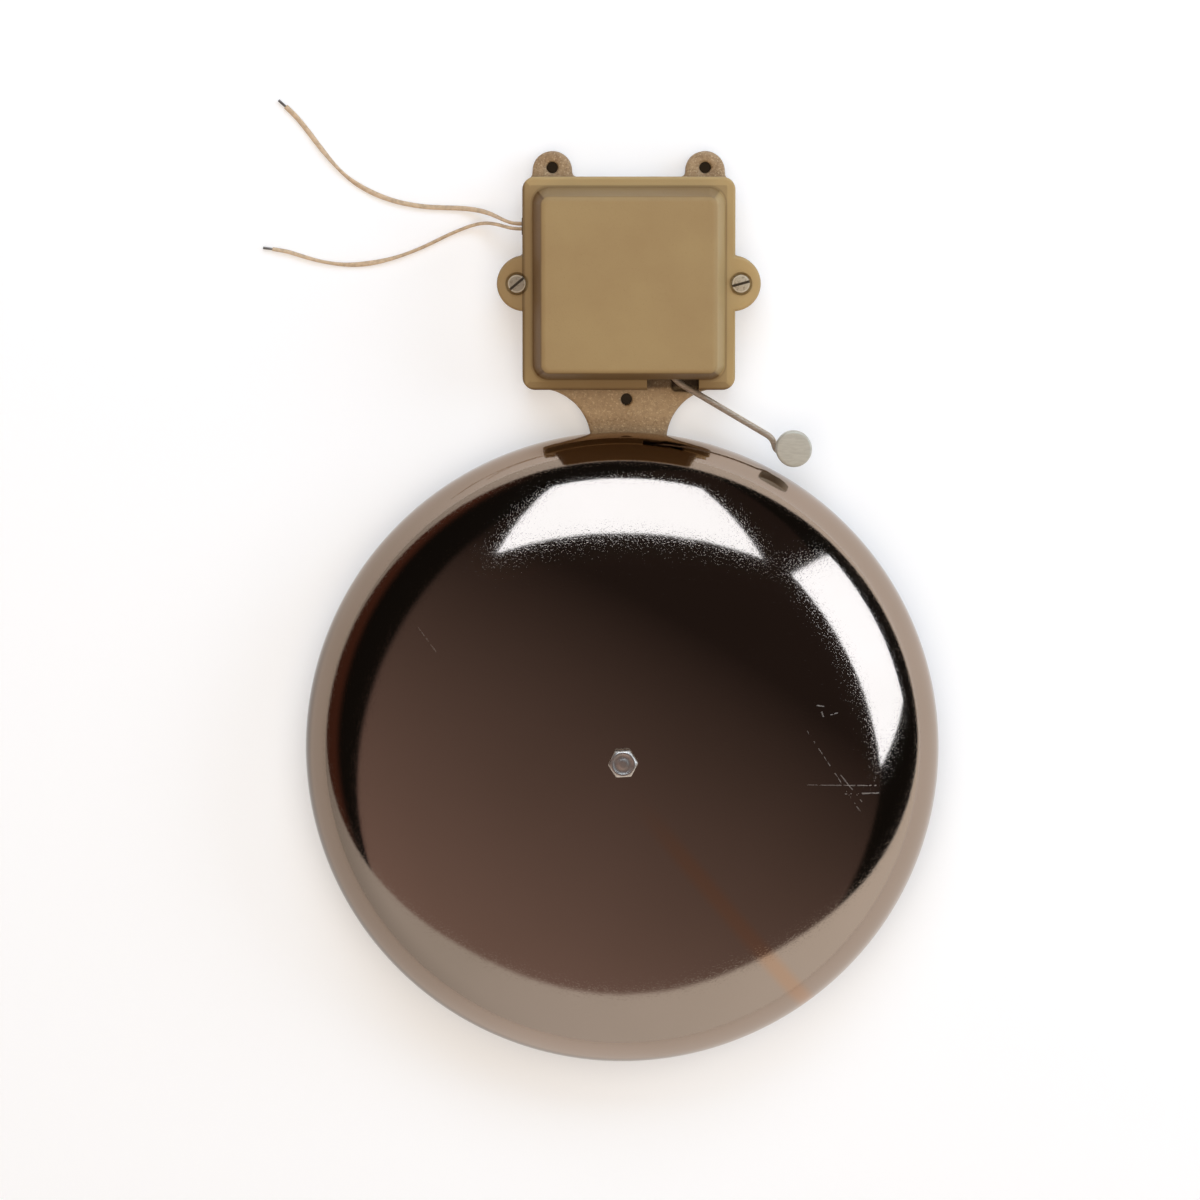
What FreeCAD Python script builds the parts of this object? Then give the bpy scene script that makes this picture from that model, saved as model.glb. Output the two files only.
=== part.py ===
import FreeCAD, Part
import math
import os
import re
import Sketcher

# A wall bell: a cast base carries a sheet metal gong on a pillar, and a case that holds
# an electromagnet, a swinging armature and its contact. The hammer hangs outside the case.
# Frame: millimetres, Z out of the wall, Y from the gong up to the case, X to the right.
# The origin is on the wall face, on the axis of the gong.

DRIVING_SIZES = [
    ("case_x", 3, "case centre, to the right of the gong axis"),
    ("case_gap", 20, "gap between the gong's rim and the case, seen from the front"),
    ("case_wide", 100, "side of the square case"),
    ("case_corner", 6, "corner radius of the case"),
    ("plate_thick", 10, "thickness of the cast base"),
    ("edge_round", 1.5, "rounded edges of the castings"),
    ("lug_round", 13, "radius of a side lug"),
    ("screw_off", 7.6, "cover screw from the foot of the raised box"),
    ("lug_in", 3.6, "centre of a side lug nearer to the case than its screw"),
    ("ear_out", 36, "ear from the case centre, sideways"),
    ("ear_up", 2.6, "centre of an ear's round end above the case"),
    ("ear_half", 9.5, "half width of an ear"),
    ("ear_hole_up", 4.2, "ear hole above the case"),
    ("fixing_hole", 5.5, "diameter of the three wall fixing holes"),
    ("foot_hole_left", 1, "foot hole to the left of the case centre"),
    ("foot_hole_down", 5, "foot hole below the case"),
    ("tongue_wide", 36, "width of the tongue that reaches under the gong"),
    ("tongue_flare", 25, "radius where the tongue widens to the case"),
    ("boss_round", 24, "radius of the boss under the gong"),
    ("boss_tall", 14, "top of the boss"),
    ("well_left", 20.5, "left side of the arm well from the case centre"),
    ("arm_clear", 0.55, "gap between the resting arm and the edge of the notch"),
    ("well_long", 15, "length of the arm well from the edge of the plate"),
    ("well_deep", 6, "depth of the arm well"),
    ("notch_left", 8.6, "left side of the cover's notch from the case centre"),
    ("skirt_tall", 12, "height of the cover's skirt"),
    ("box_wide", 90, "side of the raised box at its foot"),
    ("box_tall", 25, "height of the raised box"),
    ("box_draft", 9, "draft of the box walls in degrees"),
    ("box_corner", 8, "corner radius of the raised box"),
    ("box_edge", 3, "rounded top edge of the raised box"),
    ("cover_wall", 2.5, "wall of the cover"),
    ("gong_radius", 150, "outer radius of the gong"),
    ("gong_lift", 14, "gap from the wall to the gong's rim"),
    ("gong_skirt", 3, "straight part of the gong above its rim"),
    ("gong_dome", 57, "height of the gong's dome above the skirt"),
    ("gong_wall", 3, "thickness of the gong"),
    ("bolt_radius", 4, "radius of the gong bolt"),
    ("bolt_flats", 12, "gong bolt across the flats"),
    ("bolt_head", 5.5, "height of the gong bolt's head"),
    ("bolt_long", 30, "length of the gong bolt under its head"),
    ("washer_radius", 10, "radius of the fibre washer under the gong"),
    ("head_washer_radius", 5.8, "radius of the steel washer under the bolt's head"),
    ("washer_thick", 1.6, "thickness of the gong washers"),
    ("pillar_radius", 9, "radius of the gong pillar"),
    ("pillar_flange", 14, "radius of the pillar's foot flange"),
    ("pillar_flange_thick", 4, "thickness of the pillar's foot flange"),
    ("spigot_radius", 5, "radius of the pillar's threaded spigot"),
    ("spigot_long", 10, "length of the pillar's threaded spigot"),
    ("loose", 0.1, "radial clearance of a screw or spigot in its hole"),
    ("running", 0.05, "radial running clearance of the pivot"),
    ("slip", 0.05, "small gap between faces that slide or only just meet"),
    ("m5_radius", 2.5, "radius of the case and contact screws"),
    ("m5_head", 4.25, "radius of a cheese head"),
    ("m5_head_tall", 3.3, "height of a cheese head"),
    ("slot_wide", 1.2, "width of a screwdriver slot"),
    ("slot_deep", 1.3, "depth of a screwdriver slot"),
    ("counterbore", 5.4, "radius of the seat round a cover screw"),
    ("counterbore_deep", 1.6, "depth of the seat round a cover screw"),
    ("cover_screw_long", 18, "length of a cover screw under its head"),
    ("magnet_up", 28, "height of the magnet cores above the wall"),
    ("magnet_in", 12.5, "ends of the yoke from the upper and lower walls of the cavity"),
    ("bobbin_gap", 6, "gap between the two bobbins"),
    ("core_radius", 4.5, "radius of a core"),
    ("yoke_in", 9.5, "yoke from the left wall of the cavity"),
    ("contact_in", 4, "contact screw from the right wall of the cavity"),
    ("yoke_thick", 4, "thickness of the yoke"),
    ("yoke_over", 1, "how far the yoke reaches past the bobbins"),
    ("yoke_top", 36, "top of the yoke above the wall"),
    ("yoke_foot_long", 34, "length of the yoke's foot under the coils"),
    ("yoke_foot_half", 12, "half width of the yoke's foot"),
    ("bobbin_wall", 1.5, "wall of a bobbin"),
    ("bobbin_lip", 1, "how far a bobbin's end plates stand out past the winding"),
    ("pole_out", 3.9, "how far a core stands out of its bobbin"),
    ("air_gap", 3.2, "gap between the poles and the armature at rest"),
    ("armature_thick", 5, "thickness of the armature"),
    ("armature_low", 13.5, "lower edge of the armature above the wall"),
    ("armature_high", 36, "upper edge of the armature above the wall"),
    ("armature_down", 3, "lower end of the armature below the bobbins"),
    ("pivot_in", 9.5, "pivot from the upper wall of the cavity"),
    ("spring_grip", 10, "where the return spring bears on the armature, below the pivot"),
    ("spring_gap", 0.9, "spring post from the end plates of the bobbins"),
    ("spring_post_wide", 7, "width of the spring post"),
    ("spring_post_deep", 6, "depth of the spring post"),
    ("pivot_radius", 2.5, "radius of the pivot pin"),
    ("pivot_above", 3, "pivot pin above the armature"),
    ("bush_wall", 1.4, "wall of the pivot bush"),
    ("hub_radius", 5.5, "radius of the armature's hub"),
    ("shoulder_radius", 5, "radius of the pivot pin's shoulder"),
    ("spigot_deep", 6, "depth of the small posts in the base"),
    ("clip_radius", 4.5, "radius of the retaining clip"),
    ("clip_thick", 0.8, "thickness of the retaining clip"),
    ("clip_groove", 0.45, "depth of the groove for the clip"),
    ("arm_radius", 1.5, "radius of the hammer arm's wire"),
    ("arm_up", 16, "height of the hammer arm above the wall"),
    ("arm_socket", 10, "depth of the arm in the armature"),
    ("arm_straight", 5, "straight part of the arm under the armature"),
    ("elbow_right", 21.9, "elbow of the arm from the case centre"),
    ("elbow_in", 4.2, "elbow of the arm inside the case's lower edge"),
    ("hammer_radius", 8.5, "radius of the hammer"),
    ("hammer_thick", 10, "thickness of the hammer"),
    ("hammer_edge", 0.8, "bevel of the hammer"),
    ("hammer_angle", 60.5, "direction of the hammer from the gong axis in degrees"),
    ("hammer_gap", 5.2, "gap between hammer and gong at rest"),
    ("hook_out", 9.6, "where the arm begins to hook round under the hammer, left of its centre"),
    ("hook_up", 4.5, "where the arm begins to hook round under the hammer, above its centre"),
    ("leaf_thick", 0.5, "thickness of the contact leaf"),
    ("leaf_half", 5, "half width of the contact leaf"),
    ("leaf_off", 3, "how far the leaf's free end stands off the armature"),
    ("leaf_top", 13, "upper end of the contact leaf below the pivot"),
    ("leaf_bend", 14, "bend of the contact leaf above the contact"),
    ("leaf_end", 5, "lower end of the contact leaf below the contact"),
    ("rivet_radius", 1.3, "radius of a rivet head"),
    ("rivet_tall", 0.7, "height of a rivet head"),
    ("rivet_spread", 2.5, "each leaf rivet from the middle of the leaf"),
    ("contact_down", 4, "contact below the case centre"),
    ("tip_radius", 2.2, "radius of the contact tip"),
    ("tip_thick", 1.5, "thickness of the contact tip"),
    ("contact_screw_long", 11, "length of the contact screw under its head"),
    ("post_gap", 3.4, "contact post from the point of the contact screw"),
    ("post_thick", 5, "thickness of the contact post"),
    ("post_half", 6, "half width of the contact post"),
    ("post_tall", 34, "top of the contact post above the wall"),
    ("insulator_thick", 2, "thickness of the insulating plate"),
    ("insulator_edge", 1.5, "how far the insulating plate stands out round the post"),
    ("post_foot", 11, "length of the contact post's foot"),
    ("post_foot_thick", 4, "thickness of the contact post's foot"),
    ("post_foot_out", 4.5, "how far the contact post's foot is wider than the post"),
    ("small_radius", 1.75, "radius of the small fixing screws"),
    ("small_head", 3, "radius of a small screw head"),
    ("small_head_tall", 2.2, "height of a small screw head"),
    ("spring_thick", 0.4, "thickness of the return spring"),
    ("spring_half", 4, "half width of the return spring"),
    ("block_in", 4.5, "terminal block from the left wall of the cavity"),
    ("block_gap", 4.9, "gap between the terminal block and the spring post"),
    ("block_off", 2.5, "terminal block from the upper wall of the cavity"),
    ("block_wide", 8.5, "width of the terminal block"),
    ("block_tall", 10, "height of the terminal block"),
    ("tag_edge", 0.5, "terminal plate from the end of the block"),
    ("tag_gap", 6, "gap between the two terminal plates"),
    ("tag_wide", 7, "width of a brass terminal plate"),
    ("tag_thick", 1.5, "thickness of a brass terminal plate"),
    ("grommet_wide", 7.8, "width of the lead grommet"),
    ("grommet_tall", 8, "height of the lead grommet"),
    ("grommet_long", 4.2, "depth of the lead grommet in the case wall"),
    ("grommet_out", 0.3, "how far the grommet stands out of the case"),
    ("grommet_up", 26.75, "lead grommet above the case centre"),
    ("lead_up", 15, "height of the leads above the wall where they leave"),
    ("lead_pitch", 2.4, "distance between the leads in the grommet"),
    ("lead_radius", 1.1, "radius of a lead"),
    ("hookup_radius", 0.7, "radius of the hookup wire inside the case"),
    ("strand_radius", 0.6, "radius of a lead's stripped end"),
]

doc = FreeCAD.newDocument("wall_bell")
sheet = doc.addObject("Spreadsheet::Sheet", "sizes")
for row, (word, number, note) in enumerate(DRIVING_SIZES, start=1):
    sheet.set(f"A{row}", note)
    sheet.set(f"B{row}", str(number))
    sheet.setAlias(f"B{row}", word)
doc.recompute()

SIZE_WORDS = {word for word, _, _ in DRIVING_SIZES}

# Places that follow from the driving sizes, as formulas
DERIVED = {
    "plate_low": "gong_radius + case_gap",
    "case_y": "plate_low + case_wide / 2",
    "case_top": "case_y + case_wide / 2",
    "cover_screw_out": "box_wide / 2 + screw_off",
    "lug_out": "cover_screw_out - lug_in",
    "skirt_top": "plate_thick + skirt_tall",
    "box_top": "skirt_top + box_tall",
    "cavity_half": "box_wide / 2 - cover_wall",
    "hammer_far": "gong_radius + hammer_gap + hammer_radius",
    "hammer_x": "hammer_far * cos(hammer_angle)",
    "hammer_y": "hammer_far * sin(hammer_angle)",
    "hammer_low": "arm_up + arm_radius + slip",
    "elbow_x": "case_x + elbow_right",
    "elbow_y": "plate_low + elbow_in",
    "arm_run": "hammer_x - hook_out - elbow_x",
    "arm_drop": "elbow_y - hammer_y - hook_up",
    "arm_slant": "sqrt(pow(arm_run; 2) + pow(arm_drop; 2)) / arm_drop",
    "well_right": "elbow_right + elbow_in * arm_run / arm_drop + (arm_radius + arm_clear) * arm_slant",
    "skirt_level": "gong_lift + gong_skirt",
    "dome_top": "skirt_level + gong_dome",
    "inner_radius": "gong_radius - gong_wall",
    "inner_dome": "gong_dome - gong_wall",
    "seat_level": "skirt_level + inner_dome * sqrt(1 - pow(washer_radius / inner_radius; 2)) - slip",
    "pillar_top": "seat_level - washer_thick",
    "yoke_left": "cavity_half - yoke_in",
    "yoke_half": "cavity_half - magnet_in",
    "bobbin_radius": "(yoke_half - yoke_over - bobbin_gap / 2) / 2",
    "winding_radius": "bobbin_radius - bobbin_lip",
    "core_out": "bobbin_radius + bobbin_gap / 2",
    "contact_room": "air_gap + armature_thick + leaf_off + leaf_thick + tip_thick + slip * 2"
                    " + contact_screw_long + m5_head_tall + contact_in",
    "bobbin_long": "cavity_half * 2 - yoke_in - yoke_thick - pole_out - contact_room",
    "core_start": "case_x - yoke_left + yoke_thick",
    "bobbin_end": "core_start + bobbin_long",
    "pole_face": "bobbin_end + pole_out",
    "armature_left": "pole_face + air_gap",
    "armature_right": "armature_left + armature_thick",
    "pivot_x": "armature_left + armature_thick / 2",
    "pivot_y": "case_y + cavity_half - pivot_in",
    "armature_low_end": "case_y - core_out - bobbin_radius - armature_down",
    "bush_radius": "pivot_radius + running + bush_wall",
    "contact_y": "case_y - contact_down",
    "contact_z": "magnet_up - 1",
    "leaf_right": "armature_right + leaf_off + leaf_thick",
    "tip_right": "leaf_right + tip_thick",
    "post_left": "tip_right + slip * 2 + post_gap",
    "post_right": "post_left + post_thick",
    "post_base": "plate_thick + insulator_thick",
    "spring_post_right": "bobbin_end + spring_gap",
    "spring_post_left": "spring_post_right - spring_post_deep",
    "spring_y": "pivot_y + 1",
    "block_x": "case_x - cavity_half + block_in",
    "block_long": "spring_post_left - block_gap - block_x",
    "block_y": "case_y + cavity_half - block_off - block_wide",
    "block_top": "plate_thick + block_tall",
    "tag_top": "block_top + tag_thick",
    "terminal_y": "block_y + block_wide / 2",
    "tag_long": "(block_long - tag_gap) / 2 - tag_edge",
    "tag_pitch": "tag_long + tag_gap",
    "terminal_x": "block_x + tag_edge + tag_long / 2",
    "grommet_y": "case_y + grommet_up",
    "case_left": "case_x - case_wide / 2",
}


def full(text):
    """Turn a formula in plain words into one that reads the spreadsheet."""
    def expand(match):
        word = match.group(0)
        if word in DERIVED:
            return "(" + full(DERIVED[word]) + ")"
        return "sizes." + word if word in SIZE_WORDS else word
    return re.sub(r"[a-z_][a-z_0-9]*", expand, str(text))


def value(text):
    """The number that a formula gives now."""
    return float(sheet.evalExpression(full(text)))


PIECES = []


class Piece:
    """One sub-part made as a PartDesign body from sketches and features."""

    def __init__(self, name):
        self.body = doc.addObject("PartDesign::Body", name)
        self.body.Label = name
        PIECES.append(self.body)

    def sketch(self, role="XY_Plane", at=("0", "0", "0")):
        """A sketch on an origin plane, with its own zero moved to the point at."""
        x, y, z = at
        local = {"XY_Plane": (x, y, z), "XZ_Plane": (x, z, f"-({y})"), "YZ_Plane": (y, z, x)}[role]
        plane = [item for item in self.body.Origin.OriginFeatures if item.Role == role][0]
        sketch = self.body.newObject("Sketcher::SketchObject", self.body.Label + "_sketch")
        sketch.AttachmentSupport = [(plane, "")]
        sketch.MapMode = "FlatFace"
        for letter, formula in zip("xyz", local):
            sketch.setExpression(f"AttachmentOffset.Base.{letter}", full(formula))
        return sketch

    def feature(self, kind, sketch, **settings):
        """A feature of the body that uses a sketch."""
        made = self.body.newObject("PartDesign::" + kind, f"{self.body.Label}_{kind.lower()}")
        made.Profile = sketch
        for key, setting in settings.items():
            setattr(made, key, setting)
        return made

    def pad(self, sketch, length, taper=None):
        made = self.feature("Pad", sketch)
        made.setExpression("Length", full(length))
        if taper:
            made.setExpression("TaperAngle", full(taper))
        return made

    def pocket(self, sketch, length, up=False, taper=None):
        made = self.feature("Pocket", sketch, Reversed=up)
        made.setExpression("Length", full(length))
        if taper:
            made.setExpression("TaperAngle", full(taper))
        return made

    def soften(self, size, wanted, kind="Fillet"):
        """Round or bevel the edges of the body that wanted() picks."""
        doc.recompute()
        base = self.body.Tip
        names = [f"Edge{i}" for i, edge in enumerate(base.Shape.Edges, start=1) if wanted(edge)]
        made = self.body.newObject("PartDesign::" + kind, f"{self.body.Label}_{kind.lower()}")
        made.Base = (base, names)
        made.setExpression("Radius" if kind == "Fillet" else "Size", full(size))
        return made


def circle(sketch, x, y, radius):
    """Add a circle whose centre and radius follow the sheet."""
    centre = FreeCAD.Vector(value(x), value(y), 0)
    geo = sketch.addGeometry(Part.Circle(centre, FreeCAD.Vector(0, 0, 1), value(radius)))
    for kind, args, formula in (("DistanceX", (geo, 3), x), ("DistanceY", (geo, 3), y), ("Radius", (geo,), radius)):
        index = sketch.addConstraint(Sketcher.Constraint(kind, *args, value(formula)))
        sketch.setExpression(f"Constraints[{index}]", full(formula))
    return sketch


def outline(sketch, corners, arcs=None):
    """Add a closed outline. arcs gives a corner's number the radius of the arc that follows it:
    positive when the arc bends to the left on its way to the next corner."""
    arcs = arcs or {}
    points = [FreeCAD.Vector(value(x), value(y), 0) for x, y in corners]
    count = len(points)
    for i, start in enumerate(points):
        end = points[(i + 1) % count]
        if i not in arcs:
            sketch.addGeometry(Part.LineSegment(start, end))
            continue
        radius = abs(value(arcs[i][0]))
        chord = end - start
        side = FreeCAD.Vector(-chord.y, chord.x, 0).normalize() * arcs[i][1]
        reach = math.sqrt(max(radius ** 2 - (chord.Length / 2) ** 2, 0))
        middle = start + chord * 0.5 + side * (reach - radius)
        sketch.addGeometry(Part.Arc(start, middle, end))
    ends = {}
    for i in range(count):
        turned = i in arcs and arcs[i][1] < 0
        ends[i] = (2, 1) if turned else (1, 2)
    for i in range(count):
        after = (i + 1) % count
        sketch.addConstraint(Sketcher.Constraint("Coincident", i, ends[i][1], after, ends[after][0]))
    for i, (x, y) in enumerate(corners):
        for kind, formula in (("DistanceX", x), ("DistanceY", y)):
            index = sketch.addConstraint(Sketcher.Constraint(kind, i, ends[i][0], value(formula)))
            sketch.setExpression(f"Constraints[{index}]", full(formula))
        if i in arcs:
            index = sketch.addConstraint(Sketcher.Constraint("Radius", i, abs(value(arcs[i][0]))))
            sketch.setExpression(f"Constraints[{index}]", full(arcs[i][0]))
    return sketch


def rectangle(sketch, left, right, low, high):
    return outline(sketch, [(left, low), (right, low), (right, high), (left, high)])


def hexagon(sketch, x, y, flats, turn=0):
    """A hexagon across its flats, its first corner at the angle turn in degrees."""
    corners = []
    for i in range(6):
        angle = turn + 60 * i
        corners.append((f"{x} + {flats} / 2 / cos(30) * cos({angle})",
                        f"{y} + {flats} / 2 / cos(30) * sin({angle})"))
    return outline(sketch, corners)


def turned(name, axis, at, profile):
    """A lathe-turned piece: profile lists (radius, height along the axis) from the point at."""
    piece = Piece(name)
    if axis == "z":
        sketch = outline(piece.sketch("XZ_Plane", at), profile)
        piece.feature("Revolution", sketch, ReferenceAxis=(sketch, ["V_Axis"]))
    else:
        sketch = outline(piece.sketch("XY_Plane", at), [(along, radius) for radius, along in profile])
        piece.feature("Revolution", sketch, ReferenceAxis=(sketch, ["H_Axis"]))
    return piece


def tube_shape(inner, outer, low, high):
    return [(inner, low), (outer, low), (outer, high), (inner, high)]


def screw_shape(radius, head, head_tall, long):
    """Shank below zero and head above it."""
    return [("0", f"-({long})"), (radius, f"-({long})"), (radius, "0"), (head, "0"),
            (head, head_tall), ("0", head_tall)]


def group(name, members):
    """Several loose pieces that share one node."""
    made = doc.addObject("Part::Compound", name)
    made.Label = name
    made.Links = [member.body for member in members]
    for member in members:
        PIECES.remove(member.body)
    PIECES.append(made)
    return made


def is_upright(edge):
    box = edge.BoundBox
    return box.XLength < 1e-6 and box.YLength < 1e-6


def is_level(edge, height):
    box = edge.BoundBox
    return box.ZLength < 1e-6 and abs(box.ZMin - height) < 1e-6


# The cast base: plate, ears, lugs, and a tongue that carries the gong's boss

def make_base():
    base = Piece("base_casting")
    left, right = "case_x - case_wide / 2", "case_x + case_wide / 2"
    tongue_left, tongue_right = "case_x - tongue_wide / 2", "case_x + tongue_wide / 2"
    base.pad(rectangle(base.sketch(), left, right, "plate_low", "case_top"), "plate_thick")
    base.soften("case_corner", is_upright)
    flare = outline(base.sketch(), [
        (tongue_left, "0"), (tongue_right, "0"), (tongue_right, "plate_low - tongue_flare"),
        (f"{tongue_right} + tongue_flare", "plate_low"), (f"{tongue_right} + tongue_flare", "case_y"),
        (f"{tongue_left} - tongue_flare", "case_y"), (f"{tongue_left} - tongue_flare", "plate_low"),
        (tongue_left, "plate_low - tongue_flare")],
        arcs={2: ("tongue_flare", -1), 6: ("tongue_flare", -1)})
    base.pad(flare, "plate_thick")
    for side in ("-", "+"):
        lug = circle(base.sketch(), f"case_x {side} lug_out", "case_y", "lug_round")
        base.pad(lug, "plate_thick")
        ear_x = f"case_x {side} ear_out"
        ear = rectangle(base.sketch(), f"{ear_x} - ear_half", f"{ear_x} + ear_half", "case_y", "case_top + ear_up")
        base.pad(ear, "plate_thick")
        base.pad(circle(base.sketch(), ear_x, "case_top + ear_up", "ear_half"), "plate_thick")
    base.pad(circle(base.sketch(), "0", "0", "boss_round"), "boss_tall")
    outer = value("plate_thick")
    base.soften("edge_round", lambda edge: is_level(edge, outer))
    well = rectangle(base.sketch(at=("0", "0", "plate_thick")), "case_x + well_left", "case_x + well_right",
                     "plate_low - 1", "plate_low + well_long")
    base.pocket(well, "well_deep")
    holes = base.sketch()
    for side in ("-", "+"):
        circle(holes, f"case_x {side} ear_out", "case_top + ear_hole_up", "fixing_hole / 2")
    circle(holes, "case_x - foot_hole_left", "plate_low - foot_hole_down", "fixing_hole / 2")
    base.pocket(holes, "boss_tall", up=True)
    spigot = circle(base.sketch(at=("0", "0", "boss_tall")), "0", "0", "spigot_radius + loose")
    base.pocket(spigot, "spigot_long + slip")
    tapped = base.sketch(at=("0", "0", "plate_thick"))
    for side in ("-", "+"):
        circle(tapped, f"case_x {side} cover_screw_out", "case_y", "m5_radius + loose")
    base.pocket(tapped, "cover_screw_long - skirt_tall + counterbore_deep + 1")
    posts = base.sketch(at=("0", "0", "plate_thick"))
    circle(posts, "pivot_x", "pivot_y", "pivot_radius + loose")
    for x, y in SMALL_SCREW_PLACES:
        circle(posts, x, y, "small_radius + loose")
    base.pocket(posts, "spigot_deep + 0.5")


# The cover: a flanged skirt with side lugs and a raised box with drafted walls

def make_cover():
    cover = Piece("case_cover")
    half = "case_wide / 2"
    foot = cover.sketch(at=("0", "0", "plate_thick"))
    cover.pad(rectangle(foot, f"case_x - {half}", f"case_x + {half}", "plate_low", f"case_y + {half}"), "skirt_tall")
    cover.soften("case_corner", is_upright)
    for side in ("-", "+"):
        lug = circle(cover.sketch(at=("0", "0", "plate_thick")), f"case_x {side} lug_out", "case_y", "lug_round")
        cover.pad(lug, "skirt_tall")
    level = value("skirt_top")
    cover.soften("edge_round", lambda edge: is_level(edge, level))
    square = box_square(cover.sketch(at=("0", "0", "skirt_top")), "box_wide / 2", "box_corner")
    cover.pad(square, "box_tall", taper="-box_draft")
    peak = value("box_top")
    cover.soften("box_edge", lambda edge: is_level(edge, peak))
    shrink = "skirt_tall * tan(box_draft)"
    hollow = box_square(cover.sketch(at=("0", "0", "plate_thick")), f"cavity_half + {shrink}",
                        "box_corner - cover_wall")
    cover.pocket(hollow, "skirt_tall + box_tall - cover_wall", up=True, taper="-box_draft")
    notch = rectangle(cover.sketch(at=("0", "0", "plate_thick")), "case_x + notch_left", "case_x + well_right",
                      "plate_low - 1", "case_y")
    cover.pocket(notch, "skirt_tall", up=True)
    gate = rectangle(cover.sketch("YZ_Plane", ("case_left - 1", "0", "0")),
                     "grommet_y - grommet_wide / 2 - slip", "grommet_y + grommet_wide / 2 + slip",
                     "plate_thick - 1", "plate_thick + grommet_tall + slip")
    cover.pocket(gate, "case_wide / 2", up=True)
    holes = cover.sketch(at=("0", "0", "plate_thick"))
    seats = cover.sketch(at=("0", "0", "skirt_top"))
    for side in ("-", "+"):
        circle(holes, f"case_x {side} cover_screw_out", "case_y", "m5_radius + loose")
        circle(seats, f"case_x {side} cover_screw_out", "case_y", "counterbore")
    cover.pocket(holes, "skirt_tall", up=True)
    cover.pocket(seats, "counterbore_deep")


def box_square(sketch, half, corner):
    """A square with round corners about the case centre."""
    edge = f"({half}) - ({corner})"
    corners = [
        (f"case_x - ({edge})", f"case_y - ({half})"), (f"case_x + ({edge})", f"case_y - ({half})"),
        (f"case_x + ({half})", f"case_y - ({edge})"), (f"case_x + ({half})", f"case_y + ({edge})"),
        (f"case_x + ({edge})", f"case_y + ({half})"), (f"case_x - ({edge})", f"case_y + ({half})"),
        (f"case_x - ({half})", f"case_y + ({edge})"), (f"case_x - ({half})", f"case_y - ({edge})")]
    return outline(sketch, corners, arcs={i: (corner, 1) for i in (1, 3, 5, 7)})


def slotted_screw(name, x, y, seat, radius, head, head_tall, long, angle):
    """A cheese head screw along Z with its slot at an angle in degrees."""
    screw = turned(name, "z", (x, y, seat), screw_shape(radius, head, head_tall, long))
    slot = screw.sketch(at=(x, y, f"{seat} + {head_tall}"))
    across, along = "slot_wide / 2", f"({head} + 1)"
    corners = [(f"{sx} * {along} * cos({angle}) - {sy} * {across} * sin({angle})",
                f"{sx} * {along} * sin({angle}) + {sy} * {across} * cos({angle})")
               for sx, sy in ((-1, -1), (1, -1), (1, 1), (-1, 1))]
    screw.pocket(outline(slot, corners), "slot_deep")
    return screw


def make_cover_screws():
    screws = [slotted_screw(f"cover_screw_{word}", f"case_x {side} cover_screw_out", "case_y",
                            "skirt_top - counterbore_deep", "m5_radius", "m5_head", "m5_head_tall",
                            "cover_screw_long", angle)
              for word, side, angle in (("left", "-", 40), ("right", "+", 15))]
    group("cover_screws", screws)


# The gong and what holds it

def make_gong():
    shapes = {}
    for word, radius, dome in (("outer", "gong_radius", "gong_dome"), ("inner", "inner_radius", "inner_dome")):
        dome_piece = doc.addObject("Part::Ellipsoid", f"gong_{word}_dome")
        dome_piece.Angle1 = 0
        for key, formula in (("Radius1", dome), ("Radius2", radius), ("Radius3", radius),
                             ("Placement.Base.z", "skirt_level")):
            dome_piece.setExpression(key, full(formula))
        skirt = doc.addObject("Part::Cylinder", f"gong_{word}_skirt")
        for key, formula in (("Radius", radius), ("Height", "gong_skirt"), ("Placement.Base.z", "gong_lift")):
            skirt.setExpression(key, full(formula))
        whole = doc.addObject("Part::Fuse", f"gong_{word}")
        whole.Base, whole.Tool = dome_piece, skirt
        shapes[word] = whole
    bore = doc.addObject("Part::Cylinder", "gong_bore")
    bore.setExpression("Radius", full("bolt_radius + loose"))
    bore.setExpression("Height", full("dome_top + 1"))
    shell = doc.addObject("Part::Cut", "gong_shell")
    shell.Base, shell.Tool = shapes["outer"], shapes["inner"]
    gong = doc.addObject("Part::Cut", "gong")
    gong.Base, gong.Tool = shell, bore
    gong.Label = "gong"
    PIECES.append(gong)


def make_gong_fixings():
    pillar = turned("gong_pillar", "z", ("0", "0", "0"), [
        ("0", "boss_tall - spigot_long"), ("spigot_radius", "boss_tall - spigot_long"),
        ("spigot_radius", "boss_tall"), ("pillar_flange", "boss_tall"),
        ("pillar_flange", "boss_tall + pillar_flange_thick"), ("pillar_radius", "boss_tall + pillar_flange_thick"),
        ("pillar_radius", "pillar_top"), ("0", "pillar_top")])
    tapped = circle(pillar.sketch(at=("0", "0", "pillar_top")), "0", "0", "bolt_radius + loose")
    pillar.pocket(tapped, "bolt_long")
    for name, low, radius in (("gong_fibre_washer", "pillar_top", "washer_radius"),
                              ("gong_washer", "dome_top", "head_washer_radius")):
        turned(name, "z", ("0", "0", low), tube_shape("bolt_radius + loose", radius, "0", "washer_thick"))
    head_low = "dome_top + washer_thick"
    bolt = Piece("gong_bolt")
    bolt.pad(hexagon(bolt.sketch(at=("0", "0", head_low)), "0", "0", "bolt_flats", turn=3), "bolt_head")
    bolt.pad(circle(bolt.sketch(at=("0", "0", f"{head_low} - bolt_long")), "0", "0", "bolt_radius"), "bolt_long + 1")


# The electromagnet: yoke, two cores, bobbins and windings

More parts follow.
